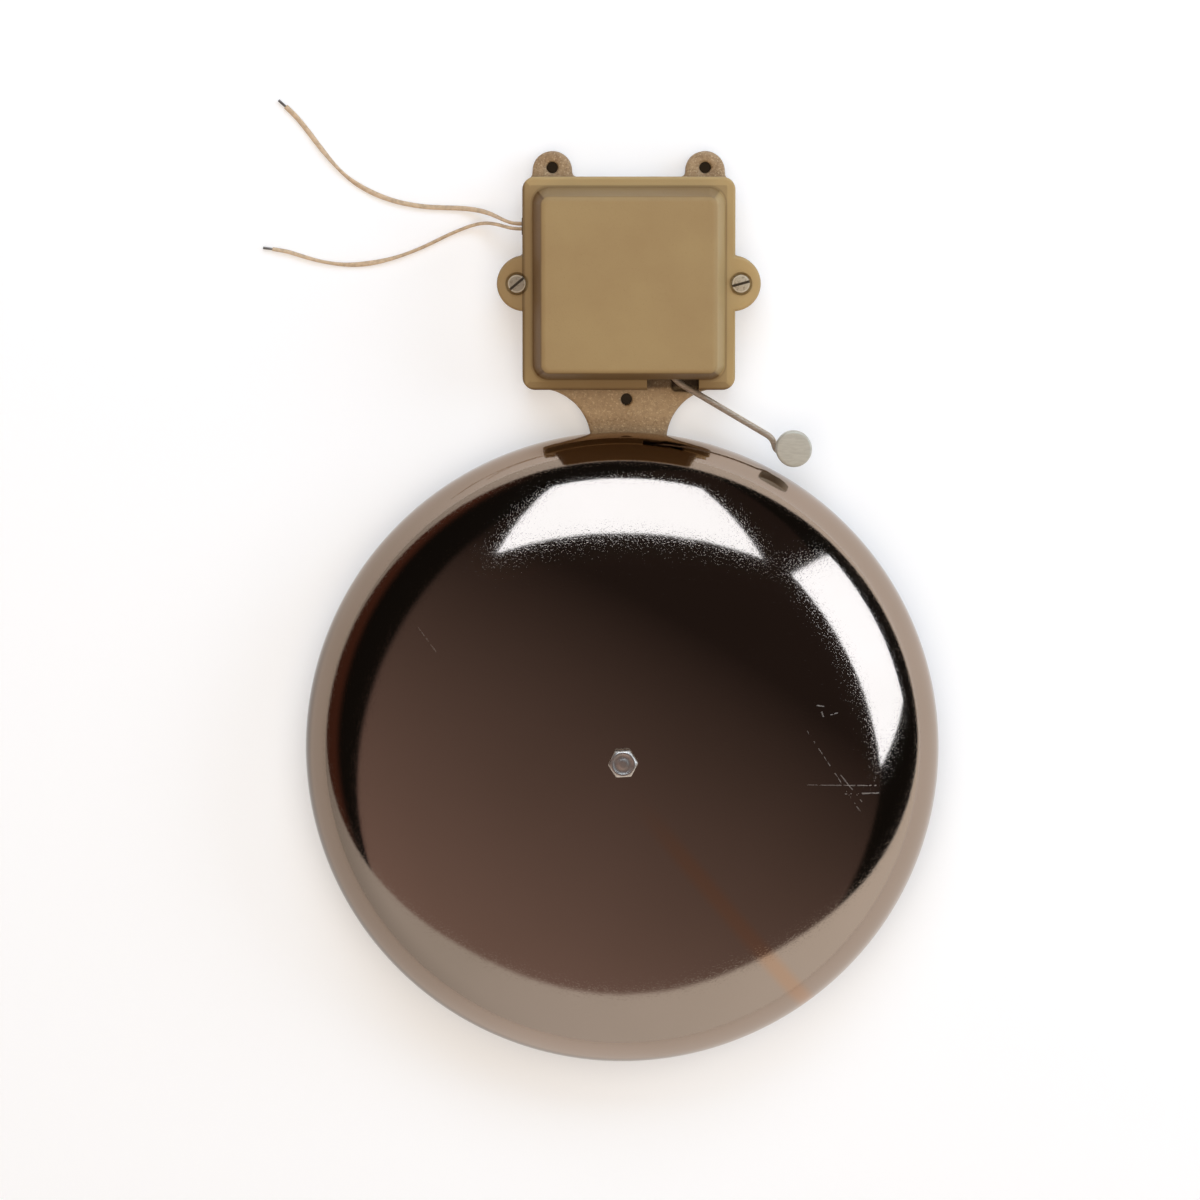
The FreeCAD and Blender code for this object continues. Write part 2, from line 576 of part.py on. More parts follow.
def make_magnet():
    yoke = Piece("magnet_yoke")
    left = "case_x - yoke_left"
    wall = rectangle(yoke.sketch(at=("0", "0", "plate_thick")), left, "core_start",
                     "case_y - yoke_half", "case_y + yoke_half")
    yoke.pad(wall, "yoke_top - plate_thick")
    foot = rectangle(yoke.sketch(at=("0", "0", "plate_thick")), left, f"{left} + yoke_foot_long",
                     "case_y - yoke_foot_half", "case_y + yoke_foot_half")
    yoke.pad(foot, "yoke_thick")
    sides = yoke.sketch("YZ_Plane", (f"{left} - 1", "0", "0"))
    for sign in ("-", "+"):
        circle(sides, f"case_y {sign} core_out", "magnet_up", "m5_radius + loose")
    yoke.pocket(sides, "yoke_thick + 2", up=True)
    holes = yoke.sketch(at=("0", "0", "plate_thick + yoke_thick"))
    for x, y in YOKE_SCREW_PLACES:
        circle(holes, x, y, "small_radius + loose")
    yoke.pocket(holes, "yoke_thick")
    for word, sign in (("lower", "-"), ("upper", "+")):
        y = f"case_y {sign} core_out"
        turned(f"core_{word}", "x", ("core_start", y, "magnet_up"), [
            ("m5_radius + loose", "0"), ("core_radius", "0"), ("core_radius", "bobbin_long + pole_out"),
            ("0", "bobbin_long + pole_out"), ("0", "m5_radius * 4 + 1"), ("m5_radius + loose", "m5_radius * 4 + 1")])
        turned(f"bobbin_{word}", "x", ("core_start", y, "magnet_up"), [
            ("core_radius + loose", "0"), ("bobbin_radius", "0"), ("bobbin_radius", "bobbin_wall"),
            ("core_radius + bobbin_wall", "bobbin_wall"), ("core_radius + bobbin_wall", "bobbin_long - bobbin_wall"),
            ("bobbin_radius", "bobbin_long - bobbin_wall"), ("bobbin_radius", "bobbin_long"),
            ("core_radius + loose", "bobbin_long")])
        turned(f"winding_{word}", "x", ("core_start", y, "magnet_up"),
               tube_shape("core_radius + bobbin_wall + loose", "winding_radius", "bobbin_wall",
                          "bobbin_long - bobbin_wall"))
    screws = [turned(f"core_screw_{word}", "x", (left, f"case_y {sign} core_out", "magnet_up"), [
        ("0", "-(m5_head_tall)"), ("m5_head", "-(m5_head_tall)"), ("m5_head", "0"), ("m5_radius", "0"),
        ("m5_radius", "yoke_thick + m5_radius * 4"), ("0", "yoke_thick + m5_radius * 4")])
        for word, sign in (("lower", "-"), ("upper", "+"))]
    group("core_screws", screws)
    screws = [slotted_screw(f"yoke_screw_{i}", x, y, "plate_thick + yoke_thick", "small_radius", "small_head",
                            "small_head_tall", "yoke_thick + spigot_deep", 30)
              for i, (x, y) in enumerate(YOKE_SCREW_PLACES)]
    group("yoke_screws", screws)


# The striker: armature on its pivot, arm, hammer and contact leaf

HOOK_TURNS = [(-7.9, -2.4), (1.5, -1.2)]
RIVET = [("0", "0"), ("rivet_radius", "0"), ("rivet_radius - 0.4", "rivet_tall"), ("0", "rivet_tall")]


def arm_points():
    """Corners of the hammer arm's wire, from the armature to the back of the hammer."""
    start_y = value("armature_low_end + arm_socket")
    straight_y = value("armature_low_end - arm_straight")
    hammer = (value("hammer_x"), value("hammer_y"))
    hook = [(value("-(hook_out)"), value("hook_up")), *HOOK_TURNS]
    corners = [(value("pivot_x"), start_y), (value("pivot_x"), straight_y), (value("elbow_x"), value("elbow_y"))]
    corners += [(hammer[0] + x, hammer[1] + y) for x, y in hook]
    return [FreeCAD.Vector(x, y, value("arm_up")) for x, y in corners]


def make_striker():
    armature = Piece("armature")
    low = ("0", "0", "armature_low")
    tall = "armature_high - armature_low"
    bar = rectangle(armature.sketch(at=low), "armature_left", "armature_right", "armature_low_end", "pivot_y")
    armature.pad(bar, tall)
    armature.pad(circle(armature.sketch(at=low), "pivot_x", "pivot_y", "hub_radius"), tall)
    bore = circle(armature.sketch(at=("0", "0", "armature_high")), "pivot_x", "pivot_y", "bush_radius + slip")
    armature.pocket(bore, tall)
    socket = circle(armature.sketch("XZ_Plane", ("0", "armature_low_end", "0")),
                    "pivot_x", "arm_up", "arm_radius + slip")
    armature.pocket(socket, "arm_socket")
    turned("pivot_bush", "z", ("pivot_x", "pivot_y", "armature_low"),
           tube_shape("pivot_radius + running", "bush_radius", "0", tall))
    pin_top = "armature_high + pivot_above"
    turned("pivot_pin", "z", ("pivot_x", "pivot_y", "0"), [
        ("0", "plate_thick - spigot_deep"), ("pivot_radius", "plate_thick - spigot_deep"),
        ("pivot_radius", "plate_thick"), ("shoulder_radius", "plate_thick"),
        ("shoulder_radius", "armature_low - slip"), ("pivot_radius", "armature_low - slip"),
        ("pivot_radius", "armature_high + slip"), ("pivot_radius - clip_groove", "armature_high + slip"),
        ("pivot_radius - clip_groove", "armature_high + clip_thick + slip * 3"),
        ("pivot_radius", "armature_high + clip_thick + slip * 3"), ("pivot_radius", pin_top), ("0", pin_top)])
    turned("pivot_clip", "z", ("pivot_x", "pivot_y", "armature_high + slip * 2"),
           tube_shape("pivot_radius - clip_groove + slip", "clip_radius", "0", "clip_thick"))
    tube("hammer_arm", arm_points(), value("arm_radius"))
    hammer = turned("hammer", "z", ("hammer_x", "hammer_y", "hammer_low"), [
        ("0", "0"), ("hammer_radius - hammer_edge", "0"), ("hammer_radius", "hammer_edge"),
        ("hammer_radius", "hammer_thick - hammer_edge"), ("hammer_radius - hammer_edge", "hammer_thick"),
        ("0", "hammer_thick")])
    leaf = Piece("contact_leaf")
    top, bend, off = "pivot_y - leaf_top", "contact_y + leaf_bend", "contact_y + leaf_end + 1"
    near, far = "armature_right", "armature_right + leaf_off"
    strip = outline(leaf.sketch(at=("0", "0", "contact_z - leaf_half")), [
        (near, top), (near, bend), (far, off), (far, "contact_y - leaf_end"),
        (f"{far} + leaf_thick", "contact_y - leaf_end"),
        (f"{far} + leaf_thick", off), (f"{near} + leaf_thick", bend), (f"{near} + leaf_thick", top)])
    leaf.pad(strip, "leaf_half * 2")
    turned("contact_tip", "x", ("leaf_right", "contact_y", "contact_z"), [
        ("0", "0"), ("tip_radius", "0"), ("tip_radius", "tip_thick - 0.4"), ("tip_radius - 0.4", "tip_thick"),
        ("0", "tip_thick")])
    rivet_y = "pivot_y - leaf_top - 3"
    rivets = [turned(f"leaf_rivet_{i}", "x", (f"{near} + leaf_thick", rivet_y, f"contact_z {sign} rivet_spread"), RIVET)
              for i, sign in enumerate("-+")]
    group("leaf_rivets", rivets)


# The fixed contact and the return spring

def make_contact():
    plate = Piece("insulating_plate")
    low, high = "contact_y - post_half - post_foot - insulator_edge", "contact_y + post_half + insulator_edge"
    plate.pad(rectangle(plate.sketch(at=("0", "0", "plate_thick")), "post_left - insulator_edge",
                        "post_right + post_foot_out + insulator_edge", low, high), "insulator_thick")
    hole = circle(plate.sketch(at=("0", "0", "post_base")), *POST_SCREW_PLACE, "small_radius + loose")
    plate.pocket(hole, "insulator_thick")
    post = Piece("contact_post")
    base = ("0", "0", "post_base")
    post.pad(rectangle(post.sketch(at=base), "post_left", "post_right", "contact_y - post_half",
                       "contact_y + post_half"), "post_tall - post_base")
    post.pad(rectangle(post.sketch(at=base), "post_left", "post_right + post_foot_out",
                       "contact_y - post_half - post_foot", "contact_y - post_half"), "post_foot_thick")
    thread = circle(post.sketch("YZ_Plane", ("post_left - 1", "0", "0")), "contact_y", "contact_z",
                    "m5_radius + loose")
    post.pocket(thread, "post_thick + 2", up=True)
    hole = circle(post.sketch(at=("0", "0", "post_base + post_foot_thick")), *POST_SCREW_PLACE,
                  "small_radius + loose")
    post.pocket(hole, "post_foot_thick")
    slotted_screw("post_screw", *POST_SCREW_PLACE, "post_base + post_foot_thick", "small_radius", "small_head",
                  "small_head_tall", "post_foot_thick + insulator_thick + spigot_deep", 70)
    start = "tip_right + slip * 2"
    turned("contact_screw", "x", (start, "contact_y", "contact_z"), [
        ("0", "0"), ("1.2", "0"), ("1.6", "1.5"), ("m5_radius", "2"), ("m5_radius", "contact_screw_long"),
        ("m5_head + 0.5", "contact_screw_long"), ("m5_head + 0.5", "contact_screw_long + m5_head_tall"),
        ("0", "contact_screw_long + m5_head_tall")])
    nut = Piece("contact_lock_nut")
    sketch = nut.sketch("YZ_Plane", ("post_right", "0", "0"))
    nut.pad(hexagon(sketch, "contact_y", "contact_z", "m5_radius * 3.2"), "m5_radius * 0.8")
    bore = circle(nut.sketch("YZ_Plane", ("post_right", "0", "0")), "contact_y", "contact_z", "m5_radius + loose")
    nut.pocket(bore, "m5_radius * 0.8", up=True)


def make_spring():
    post = Piece("spring_post")
    right = "spring_post_right"
    half = "spring_post_wide / 2"
    post.pad(rectangle(post.sketch(at=("0", "0", "plate_thick")), "spring_post_left", right, f"spring_y - {half}",
                       f"spring_y + {half}"), "magnet_up + spring_half + 3 - plate_thick")
    foot = circle(post.sketch(at=("0", "0", "plate_thick")), f"{right} - 3", "spring_y", "small_radius")
    post.pocket(foot, "1", up=True)
    spring = Piece("return_spring")
    end = "armature_left - slip"
    strip = outline(spring.sketch(at=("0", "0", "magnet_up - spring_half")), [
        (right, "spring_y + 3"), (right, "spring_y - 4"), (f"{end} - spring_thick", "pivot_y - spring_grip - 0.2"),
        (f"{end}", "pivot_y - spring_grip + 0.2"), (f"{right} + spring_thick", "spring_y - 3.8"),
        (f"{right} + spring_thick", "spring_y + 3")])
    spring.pad(strip, "spring_half * 2")
    rivets = [turned(f"spring_rivet_{i}", "x", (f"{right} + spring_thick", "spring_y", f"magnet_up + {rise}"), RIVET)
              for i, rise in enumerate((-2, 2))]
    group("spring_rivets", rivets)


# The terminal block, the grommet and the wires

def make_terminals():
    block = Piece("terminal_block")
    block.pad(rectangle(block.sketch(at=("0", "0", "plate_thick")), "block_x", "block_x + block_long",
                        "block_y", "block_y + block_wide"), "block_tall")
    holes = block.sketch(at=("0", "0", "block_top"))
    places = [("terminal_x", "terminal_y"), ("terminal_x + tag_pitch", "terminal_y"), BLOCK_SCREW_PLACE]
    for x, y in places:
        circle(holes, x, y, "small_radius + loose")
    block.pocket(holes, "block_tall")
    tags = []
    screws = []
    for word, x in (("left", "terminal_x"), ("right", "terminal_x + tag_pitch")):
        tag = Piece(f"terminal_tag_{word}")
        tag.pad(rectangle(tag.sketch(at=("0", "0", "block_top")), f"{x} - tag_long / 2", f"{x} + tag_long / 2",
                          "terminal_y - tag_wide / 2", "terminal_y + tag_wide / 2"), "tag_thick")
        tag.pocket(circle(tag.sketch(at=("0", "0", "tag_top")), x, "terminal_y", "small_radius + loose"), "tag_thick")
        tags.append(tag)
        screws.append(slotted_screw(f"terminal_screw_{word}", x, "terminal_y", "tag_top", "small_radius",
                                    "small_head", "small_head_tall", "block_tall - 1 + tag_thick", 80))
    group("terminal_tags", tags)
    group("terminal_screws", screws)
    slotted_screw("block_screw", *BLOCK_SCREW_PLACE, "block_top", "small_radius", "small_head - 0.3",
                  "small_head_tall", "block_tall + spigot_deep", 10)
    grommet = Piece("lead_grommet")
    outside, inside = "case_left - grommet_out", "case_left + grommet_long"
    grommet.pad(rectangle(grommet.sketch(at=("0", "0", "plate_thick")), outside, inside,
                          "grommet_y - grommet_wide / 2", "grommet_y + grommet_wide / 2"), "grommet_tall")
    bores = grommet.sketch("YZ_Plane", (f"{outside} - 1", "0", "0"))
    for sign in ("-", "+"):
        circle(bores, f"grommet_y {sign} lead_pitch / 2", "lead_up", "lead_radius + slip")
    grommet.pocket(bores, "case_wide / 2", up=True)


def tube(name, points, radius):
    """A round wire along straight runs that tangent arcs join, each arc as large as its runs allow."""
    edges = []
    radii = []
    start = points[0]
    for before, corner, after in zip(points, points[1:], points[2:]):
        inward = (before - corner).normalize()
        outward = (after - corner).normalize()
        turn = math.pi - inward.getAngle(outward)
        cut = 0.45 * min((before - corner).Length, (after - corner).Length)
        bend = cut / math.tan(turn / 2)
        first, last = corner + inward * cut, corner + outward * cut
        middle = (inward + outward).normalize()
        peak = corner + middle * (bend / math.cos(turn / 2) - bend)
        edges.append(Part.LineSegment(start, first).toShape())
        edges.append(Part.Arc(first, peak, last).toShape())
        radii.append(bend)
        start = last
    edges.append(Part.LineSegment(start, points[-1]).toShape())
    path = Part.Wire(edges)
    ring = Part.Wire(Part.makeCircle(radius, points[0], points[1] - points[0]))
    solid = path.makePipeShell([ring], True, False)
    piece = doc.addObject("Part::Feature", name)
    piece.Label = name
    piece.Shape = solid
    PIECES.append(piece)
    ratio = solid.Volume / (math.pi * radius ** 2 * path.Length)
    tightest = min(radii) / (2 * radius) if radii else 0
    print(f"{name}: length {path.Length:.1f}, tightest arc {tightest:.1f} diameters, volume ratio {ratio:.4f}")
    print("   radii", " ".join(f"{bend:.1f}" for bend in radii))
    return piece


def from_case(points):
    """Points given from the case centre, placed in the frame."""
    return [FreeCAD.Vector(value("case_x") + x, value("case_y") + y, z) for x, y, z in points]


LEAD_UPPER = [
    (-50.3, 27.95, 15.0), (-54.0, 27.95, 15.0), (-58.2, 29.3, 13.6), (-62.2, 31.2, 10.6), (-66.6, 33.0, 6.8),
    (-71.6, 34.2, 3.6), (-78.4, 35.0, 1.7), (-87.0, 35.2, 1.2), (-98.0, 35.7, 1.2), (-111.0, 38.2, 1.2),
    (-123.6, 43.2, 1.2), (-134.4, 50.4, 1.2), (-144.0, 61.4, 1.2), (-152.6, 73.0, 1.2), (-158.2, 79.6, 1.2),
    (-161.8, 82.8, 1.2)]
LEAD_LOWER = [
    (-50.3, 25.55, 15.0), (-54.0, 25.55, 15.0), (-58.4, 26.6, 13.4), (-62.6, 27.7, 10.0), (-67.2, 28.2, 6.2),
    (-72.4, 27.4, 3.2), (-78.8, 25.2, 1.6), (-86.6, 21.8, 1.2), (-97.0, 16.6, 1.2), (-108.8, 12.0, 1.2),
    (-121.0, 9.0, 1.2), (-133.4, 8.0, 1.2), (-145.6, 9.8, 1.2), (-154.6, 12.4, 1.2), (-162.2, 14.9, 1.2),
    (-168.4, 15.7, 1.2)]
TAIL_UPPER = [
    (-50.3, 27.95, 15.0), (-42.4, 27.95, 15.0), (-40.2, 29.6, 18.2), (-39.6, 33.0, 21.6), (-37.4, 35.4, 22.9),
    (-34.2, 35.75, 22.65)]
TAIL_LOWER = [
    (-50.3, 25.55, 15.0), (-41.2, 25.55, 15.0), (-37.8, 26.8, 18.4), (-36.6, 30.0, 23.4), (-34.5, 35.4, 27.0),
    (-27.0, 38.0, 27.2), (-20.2, 37.4, 25.2), (-17.4, 36.2, 22.8), (-14.2, 35.75, 22.65)]
WIRE_COIL = [(-5.6, 34.0, 22.25), (-5.6, 31.2, 22.5), (-5.4, 30.3, 26.3), (-5.4, 28.6, 28.0)]
WIRE_LINK = [(-5.0, 3.7, 28.0), (-5.0, 0.0, 28.6), (-5.0, -3.7, 28.0)]
WIRE_CONTACT = [
    (2.0, -28.4, 28.0), (2.0, -33.0, 28.0), (7.0, -37.2, 27.6), (16.0, -38.0, 26.0), (26.0, -36.6, 22.8),
    (32.0, -31.6, 19.0), (33.6, -25.6, 17.2), (33.6, -20.4, 16.75)]
WIRE_PIVOT = [
    (11.2, 35.9, 11.4), (8.9, 39.4, 11.6), (3.0, 41.3, 13.2), (-7.0, 41.3, 15.4), (-17.0, 41.3, 17.2),
    (-22.6, 41.2, 19.6), (-25.2, 40.3, 22.6), (-26.2, 36.8, 22.4)]
TIP_LONG = 4.5


def make_leads():
    lead = value("lead_radius")
    hookup = value("hookup_radius")
    for name, route, radius in (
            ("lead_upper", LEAD_UPPER, lead), ("lead_lower", LEAD_LOWER, lead),
            ("lead_tail_upper", TAIL_UPPER, lead), ("lead_tail_lower", TAIL_LOWER, lead),
            ("coil_feed_wire", WIRE_COIL, hookup), ("coil_link_wire", WIRE_LINK, hookup),
            ("contact_feed_wire", WIRE_CONTACT, hookup), ("pivot_feed_wire", WIRE_PIVOT, hookup)):
        tube(name, from_case(route), radius)
    for name, route in (("lead_upper_tip", LEAD_UPPER), ("lead_lower_tip", LEAD_LOWER)):
        before, end = from_case(route)[-2:]
        heading = (end - before).normalize()
        tip = doc.addObject("Part::Feature", name)
        tip.Label = name
        tip.Shape = Part.makeCylinder(value("strand_radius"), TIP_LONG, end, heading)
        PIECES.append(tip)


YOKE_SCREW_PLACES = [("case_x - yoke_left + 12", "case_y"), ("case_x - yoke_left + 29", "case_y")]
POST_SCREW_PLACE = ("post_left + 5", "contact_y - post_half - post_foot / 2")
BLOCK_SCREW_PLACE = ("terminal_x + tag_pitch / 2", "terminal_y")
SMALL_SCREW_PLACES = YOKE_SCREW_PLACES + [POST_SCREW_PLACE, BLOCK_SCREW_PLACE]

make_base()
make_cover()
make_cover_screws()
make_gong()
make_gong_fixings()
make_magnet()
make_striker()
make_contact()
make_spring()
make_terminals()
make_leads()
doc.recompute()

for item in doc.Objects:
    if {"Invalid", "Error"} & set(item.State):
        raise RuntimeError(f"{item.Label} failed: {item.State}")
for piece in PIECES:
    if piece.Shape.isNull() or not piece.Shape.isValid():
        raise RuntimeError(f"{piece.Label} has no valid shape")

os.makedirs("parts", exist_ok=True)
for piece in PIECES:
    piece.Shape.exportStep(f"parts/{piece.Label}.step")
    solids = len(piece.Shape.Solids)
    print(f"{piece.Label}: {solids} solid(s), {piece.Shape.Volume:.1f} mm3")
print(len(PIECES), "nodes")
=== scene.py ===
# %% [markdown]
# # An electric bell, dressed in Blender
# The bell lies on its back on a white floor and is seen from straight above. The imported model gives
# every piece at its real size and place. Here the pieces that show get finer meshes, and every piece
# gets a finish made from nodes. All lengths are metres.

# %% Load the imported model
import math
import bpy
from mathutils import Matrix, Vector


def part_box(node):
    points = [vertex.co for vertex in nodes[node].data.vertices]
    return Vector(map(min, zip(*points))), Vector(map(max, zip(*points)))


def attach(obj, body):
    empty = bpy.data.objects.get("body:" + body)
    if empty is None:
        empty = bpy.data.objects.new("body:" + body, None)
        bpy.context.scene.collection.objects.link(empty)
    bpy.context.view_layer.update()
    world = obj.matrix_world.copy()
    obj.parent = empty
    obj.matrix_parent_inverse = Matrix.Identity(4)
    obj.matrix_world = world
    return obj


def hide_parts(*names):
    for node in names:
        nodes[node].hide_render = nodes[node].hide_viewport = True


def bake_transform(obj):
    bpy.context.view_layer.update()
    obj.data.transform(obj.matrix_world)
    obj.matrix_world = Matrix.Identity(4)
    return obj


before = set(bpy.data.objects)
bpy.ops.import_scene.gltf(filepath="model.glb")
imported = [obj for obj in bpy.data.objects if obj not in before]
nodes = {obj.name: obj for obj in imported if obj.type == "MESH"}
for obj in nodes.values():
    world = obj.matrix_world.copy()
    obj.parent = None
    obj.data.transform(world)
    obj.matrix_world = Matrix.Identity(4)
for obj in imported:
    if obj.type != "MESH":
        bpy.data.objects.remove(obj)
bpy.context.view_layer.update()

# %% [markdown]
# ## The camera
# The photograph was taken from high up with a long lens, so the gong's rim is nearly a true circle.
# A camera can be placed by eye, but its place and lens were worked out from the case, which
# stands higher than its base plate and so leans a little in the picture.

# %% Camera
PHOTO_WIDTH = 1200
FOCAL_PIXELS = 5272
SENSOR_WIDTH = 36
CAMERA_PLACE = Vector((-0.0147, 0.2957, 2.5))
CAMERA_TARGET = Vector((-0.0105, 0.0689, 0.0))

camera_data = bpy.data.cameras.new("camera")
camera_data.sensor_width = SENSOR_WIDTH
camera_data.lens = FOCAL_PIXELS * SENSOR_WIDTH / PHOTO_WIDTH
camera = bpy.data.objects.new("camera", camera_data)
bpy.context.collection.objects.link(camera)
ahead = (CAMERA_TARGET - CAMERA_PLACE).normalized()
sideways = ahead.cross(Vector((0, 1, 0))).normalized()
camera.matrix_world = Matrix.Translation(CAMERA_PLACE) @ Matrix(
    (sideways, sideways.cross(ahead), -ahead)).transposed().to_4x4()
bpy.context.scene.camera = camera
bpy.context.scene.view_settings.view_transform = "Standard"
print("lens", round(camera_data.lens, 1), "mm")

# %% [markdown]
# ## Working on one piece at a time
# Several shapes here follow a formula: a twisting strip, a lathe outline, a hexagon cut by a cone.
# Their points are written first, and edit mode's operators do the rest. An operator acts on all that
# is selected, and the loaded nodes are all selected, so each piece is first selected alone.

# %% Open and close a piece
def edit(piece):
    """Select one piece alone and open it in edit mode."""
    if bpy.context.object and bpy.context.object.mode != "OBJECT":
        bpy.ops.object.mode_set(mode="OBJECT")
    bpy.ops.object.select_all(action="DESELECT")
    bpy.context.view_layer.objects.active = piece
    piece.select_set(True)
    bpy.ops.object.mode_set(mode="EDIT")


def start_piece(name, vertices, edges, faces):
    """A new piece from points, open in edit mode with all of it selected."""
    mesh = bpy.data.meshes.new(name)
    mesh.from_pydata(vertices, edges, faces)
    piece = bpy.data.objects.new(name, mesh)
    bpy.context.collection.objects.link(piece)
    edit(piece)
    bpy.ops.mesh.select_all(action="SELECT")
    return piece


def close_piece(shade_angle):
    """Turn the selected faces outwards, leave edit mode and smooth all edges flatter than the angle."""
    bpy.ops.mesh.normals_make_consistent(inside=False)
    bpy.ops.object.mode_set(mode="OBJECT")
    bpy.ops.object.shade_smooth_by_angle(angle=math.radians(shade_angle))

# %% Faces of a tube
def tube_faces(rings, steps):
    """The faces of a closed tube whose points come ring by ring: its side, then its two ends."""
    faces = []
    for i in range(rings - 1):
        for k in range(steps):
            a, b = i * steps + k, i * steps + (k + 1) % steps
            faces.append((a, b, b + steps, a + steps))
    faces.append(tuple(range(steps))[::-1])
    faces.append(tuple(range((rings - 1) * steps, rings * steps)))
    return faces


print("a tube of 3 rings of 4 points has", len(tube_faces(3, 4)), "faces")

# %% [markdown]
# ## The two leads
# Each lead is a flat cotton-covered strip, so it shows its wide side, then its edge, as it twists.
# A curve with a round bevel is quicker but can't do that. The route is a smooth NURBS line drawn through
# given points, and its sampled line carries an oval section that turns slowly on its way.

# %% Routes of the leads
CASE = Vector((0.003, 0.220, 0.0))
LEAD_UPPER = [
    (-50.3, 27.95, 15.0), (-54.0, 27.95, 15.0), (-58.2, 29.3, 13.6), (-62.2, 31.2, 10.6),
    (-66.6, 33.0, 6.8), (-71.6, 34.2, 3.6), (-78.4, 35.0, 1.7), (-87.0, 35.2, 1.2),
    (-98.0, 35.7, 1.2), (-111.0, 38.2, 1.2), (-123.6, 43.2, 1.2), (-134.4, 50.4, 1.2),
    (-144.0, 61.4, 1.2), (-152.6, 73.0, 1.2), (-158.2, 79.6, 1.2), (-161.8, 82.8, 1.2)]
LEAD_LOWER = [
    (-50.3, 25.55, 15.0), (-54.0, 25.55, 15.0), (-58.4, 26.6, 13.4), (-62.6, 27.7, 10.0),
    (-67.2, 28.2, 6.2), (-72.4, 27.4, 3.2), (-78.8, 25.2, 1.6), (-86.6, 21.8, 1.2),
    (-97.0, 16.6, 1.2), (-108.8, 12.0, 1.2), (-121.0, 9.0, 1.2), (-133.4, 8.0, 1.2),
    (-145.6, 9.8, 1.2), (-154.6, 12.4, 1.2), (-162.2, 14.9, 1.2), (-168.4, 15.7, 1.2)]
print("points of the routes", len(LEAD_UPPER), "and", len(LEAD_LOWER))

# %% A smooth line through a route
def smooth_line(name, route):
    """The NURBS line of a route given in millimetres from the case centre, as points in metres."""
    curve = bpy.data.curves.new(name, "CURVE")
    curve.dimensions = "3D"
    curve.resolution_u = 12
    spline = curve.splines.new("NURBS")
    spline.points.add(len(route) - 1)
    for point, place in zip(spline.points, route):
        point.co = (*(CASE + Vector(place) / 1000), 1.0)
    spline.order_u = 3
    spline.use_endpoint_u = True
    carrier = bpy.data.objects.new(name, curve)
    bpy.context.collection.objects.link(carrier)
    bpy.context.view_layer.update()
    line = bpy.data.meshes.new_from_object(carrier)
    points = [vertex.co.copy() for vertex in line.vertices]
    bpy.data.objects.remove(carrier)
    return points


def line_length(points):
    return sum((b - a).length for a, b in zip(points, points[1:]))

# %% A flat strip that twists
STRIP_HALF_WIDTH = 0.00120
STRIP_HALF_THICK = 0.00080
STRIP_SIDES = 14
STRIP_SHADE_ANGLE = 50


def twisting_strip(name, points, turn_at):
    """Sweep an oval section along points; turn_at gives its turn in radians after a share of the way."""
    vertices = []
    total = line_length(points)
    gone = 0.0
    for i, point in enumerate(points):
        if i:
            gone += (point - points[i - 1]).length
        ahead = (points[min(i + 1, len(points) - 1)] - points[max(i - 1, 0)]).normalized()
        side = ahead.cross(Vector((0, 0, 1))).normalized()
        over = side.cross(ahead)
        turn = turn_at(gone / total)
        wide = side * math.cos(turn) + over * math.sin(turn)
        thin = over * math.cos(turn) - side * math.sin(turn)
        for k in range(STRIP_SIDES):
            angle = 2 * math.pi * k / STRIP_SIDES
            vertices.append(point + wide * STRIP_HALF_WIDTH * math.cos(angle)
                            + thin * STRIP_HALF_THICK * math.sin(angle))
    strip = start_piece(name, vertices, [], tube_faces(len(points), STRIP_SIDES))
    close_piece(STRIP_SHADE_ANGLE)
    return strip

# %% Leads
LEADS = (
    ("lead_upper", LEAD_UPPER, lambda share: 0.9 + 5.2 * share + 0.8 * math.sin(9 * share)),
    ("lead_lower", LEAD_LOWER, lambda share: 0.4 + 4.4 * share + 0.9 * math.sin(8 * share + 1)))
for name, route, turn_at in LEADS:
    line = smooth_line(name + "_line", route)
    strip = twisting_strip("flat_" + name, line, turn_at)
    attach(strip, "frame")
    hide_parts(name)
    line_length(line)
    nodes[name + "_tip"]
    print(name, "is", round(line_length(line) * 1000, 1), "mm long")

# %% [markdown]
# ## Writing a finish as a formula
# A finish is a small sum: noise times a depth, a mask that mixes two colours. It can be wired by hand
# in the shader editor, but written as Python it reads like that sum. Value wraps a socket, and each
# operator on it adds one Math node.

# %% Shader arithmetic
class Value:
    """A number that changes over the surface: the output socket of a node."""

    def __init__(self, finish, socket):
        self.finish = finish
        self.socket = socket

    def math(self, operation, *others):
        inputs = {number: other for number, other in enumerate((self, *others))}
        return self.finish.node("ShaderNodeMath", {"operation": operation}, inputs)

    def __add__(self, other):
        return self.math("ADD", other)

    def __sub__(self, other):
        return self.math("SUBTRACT", other)

    def __mul__(self, other):
        return self.math("MULTIPLY", other)

    def __truediv__(self, other):
        return self.math("DIVIDE", other)

    def __rsub__(self, other):
        return (self * -1) + other

    __radd__ = __add__
    __rmul__ = __mul__

    def over(self, low, high):
        """0 below low, 1 above high, a soft step between."""
        settings = {"interpolation_type": "SMOOTHSTEP"}
        return self.finish.node("ShaderNodeMapRange", settings, {"Value": self, 1: low, 2: high})

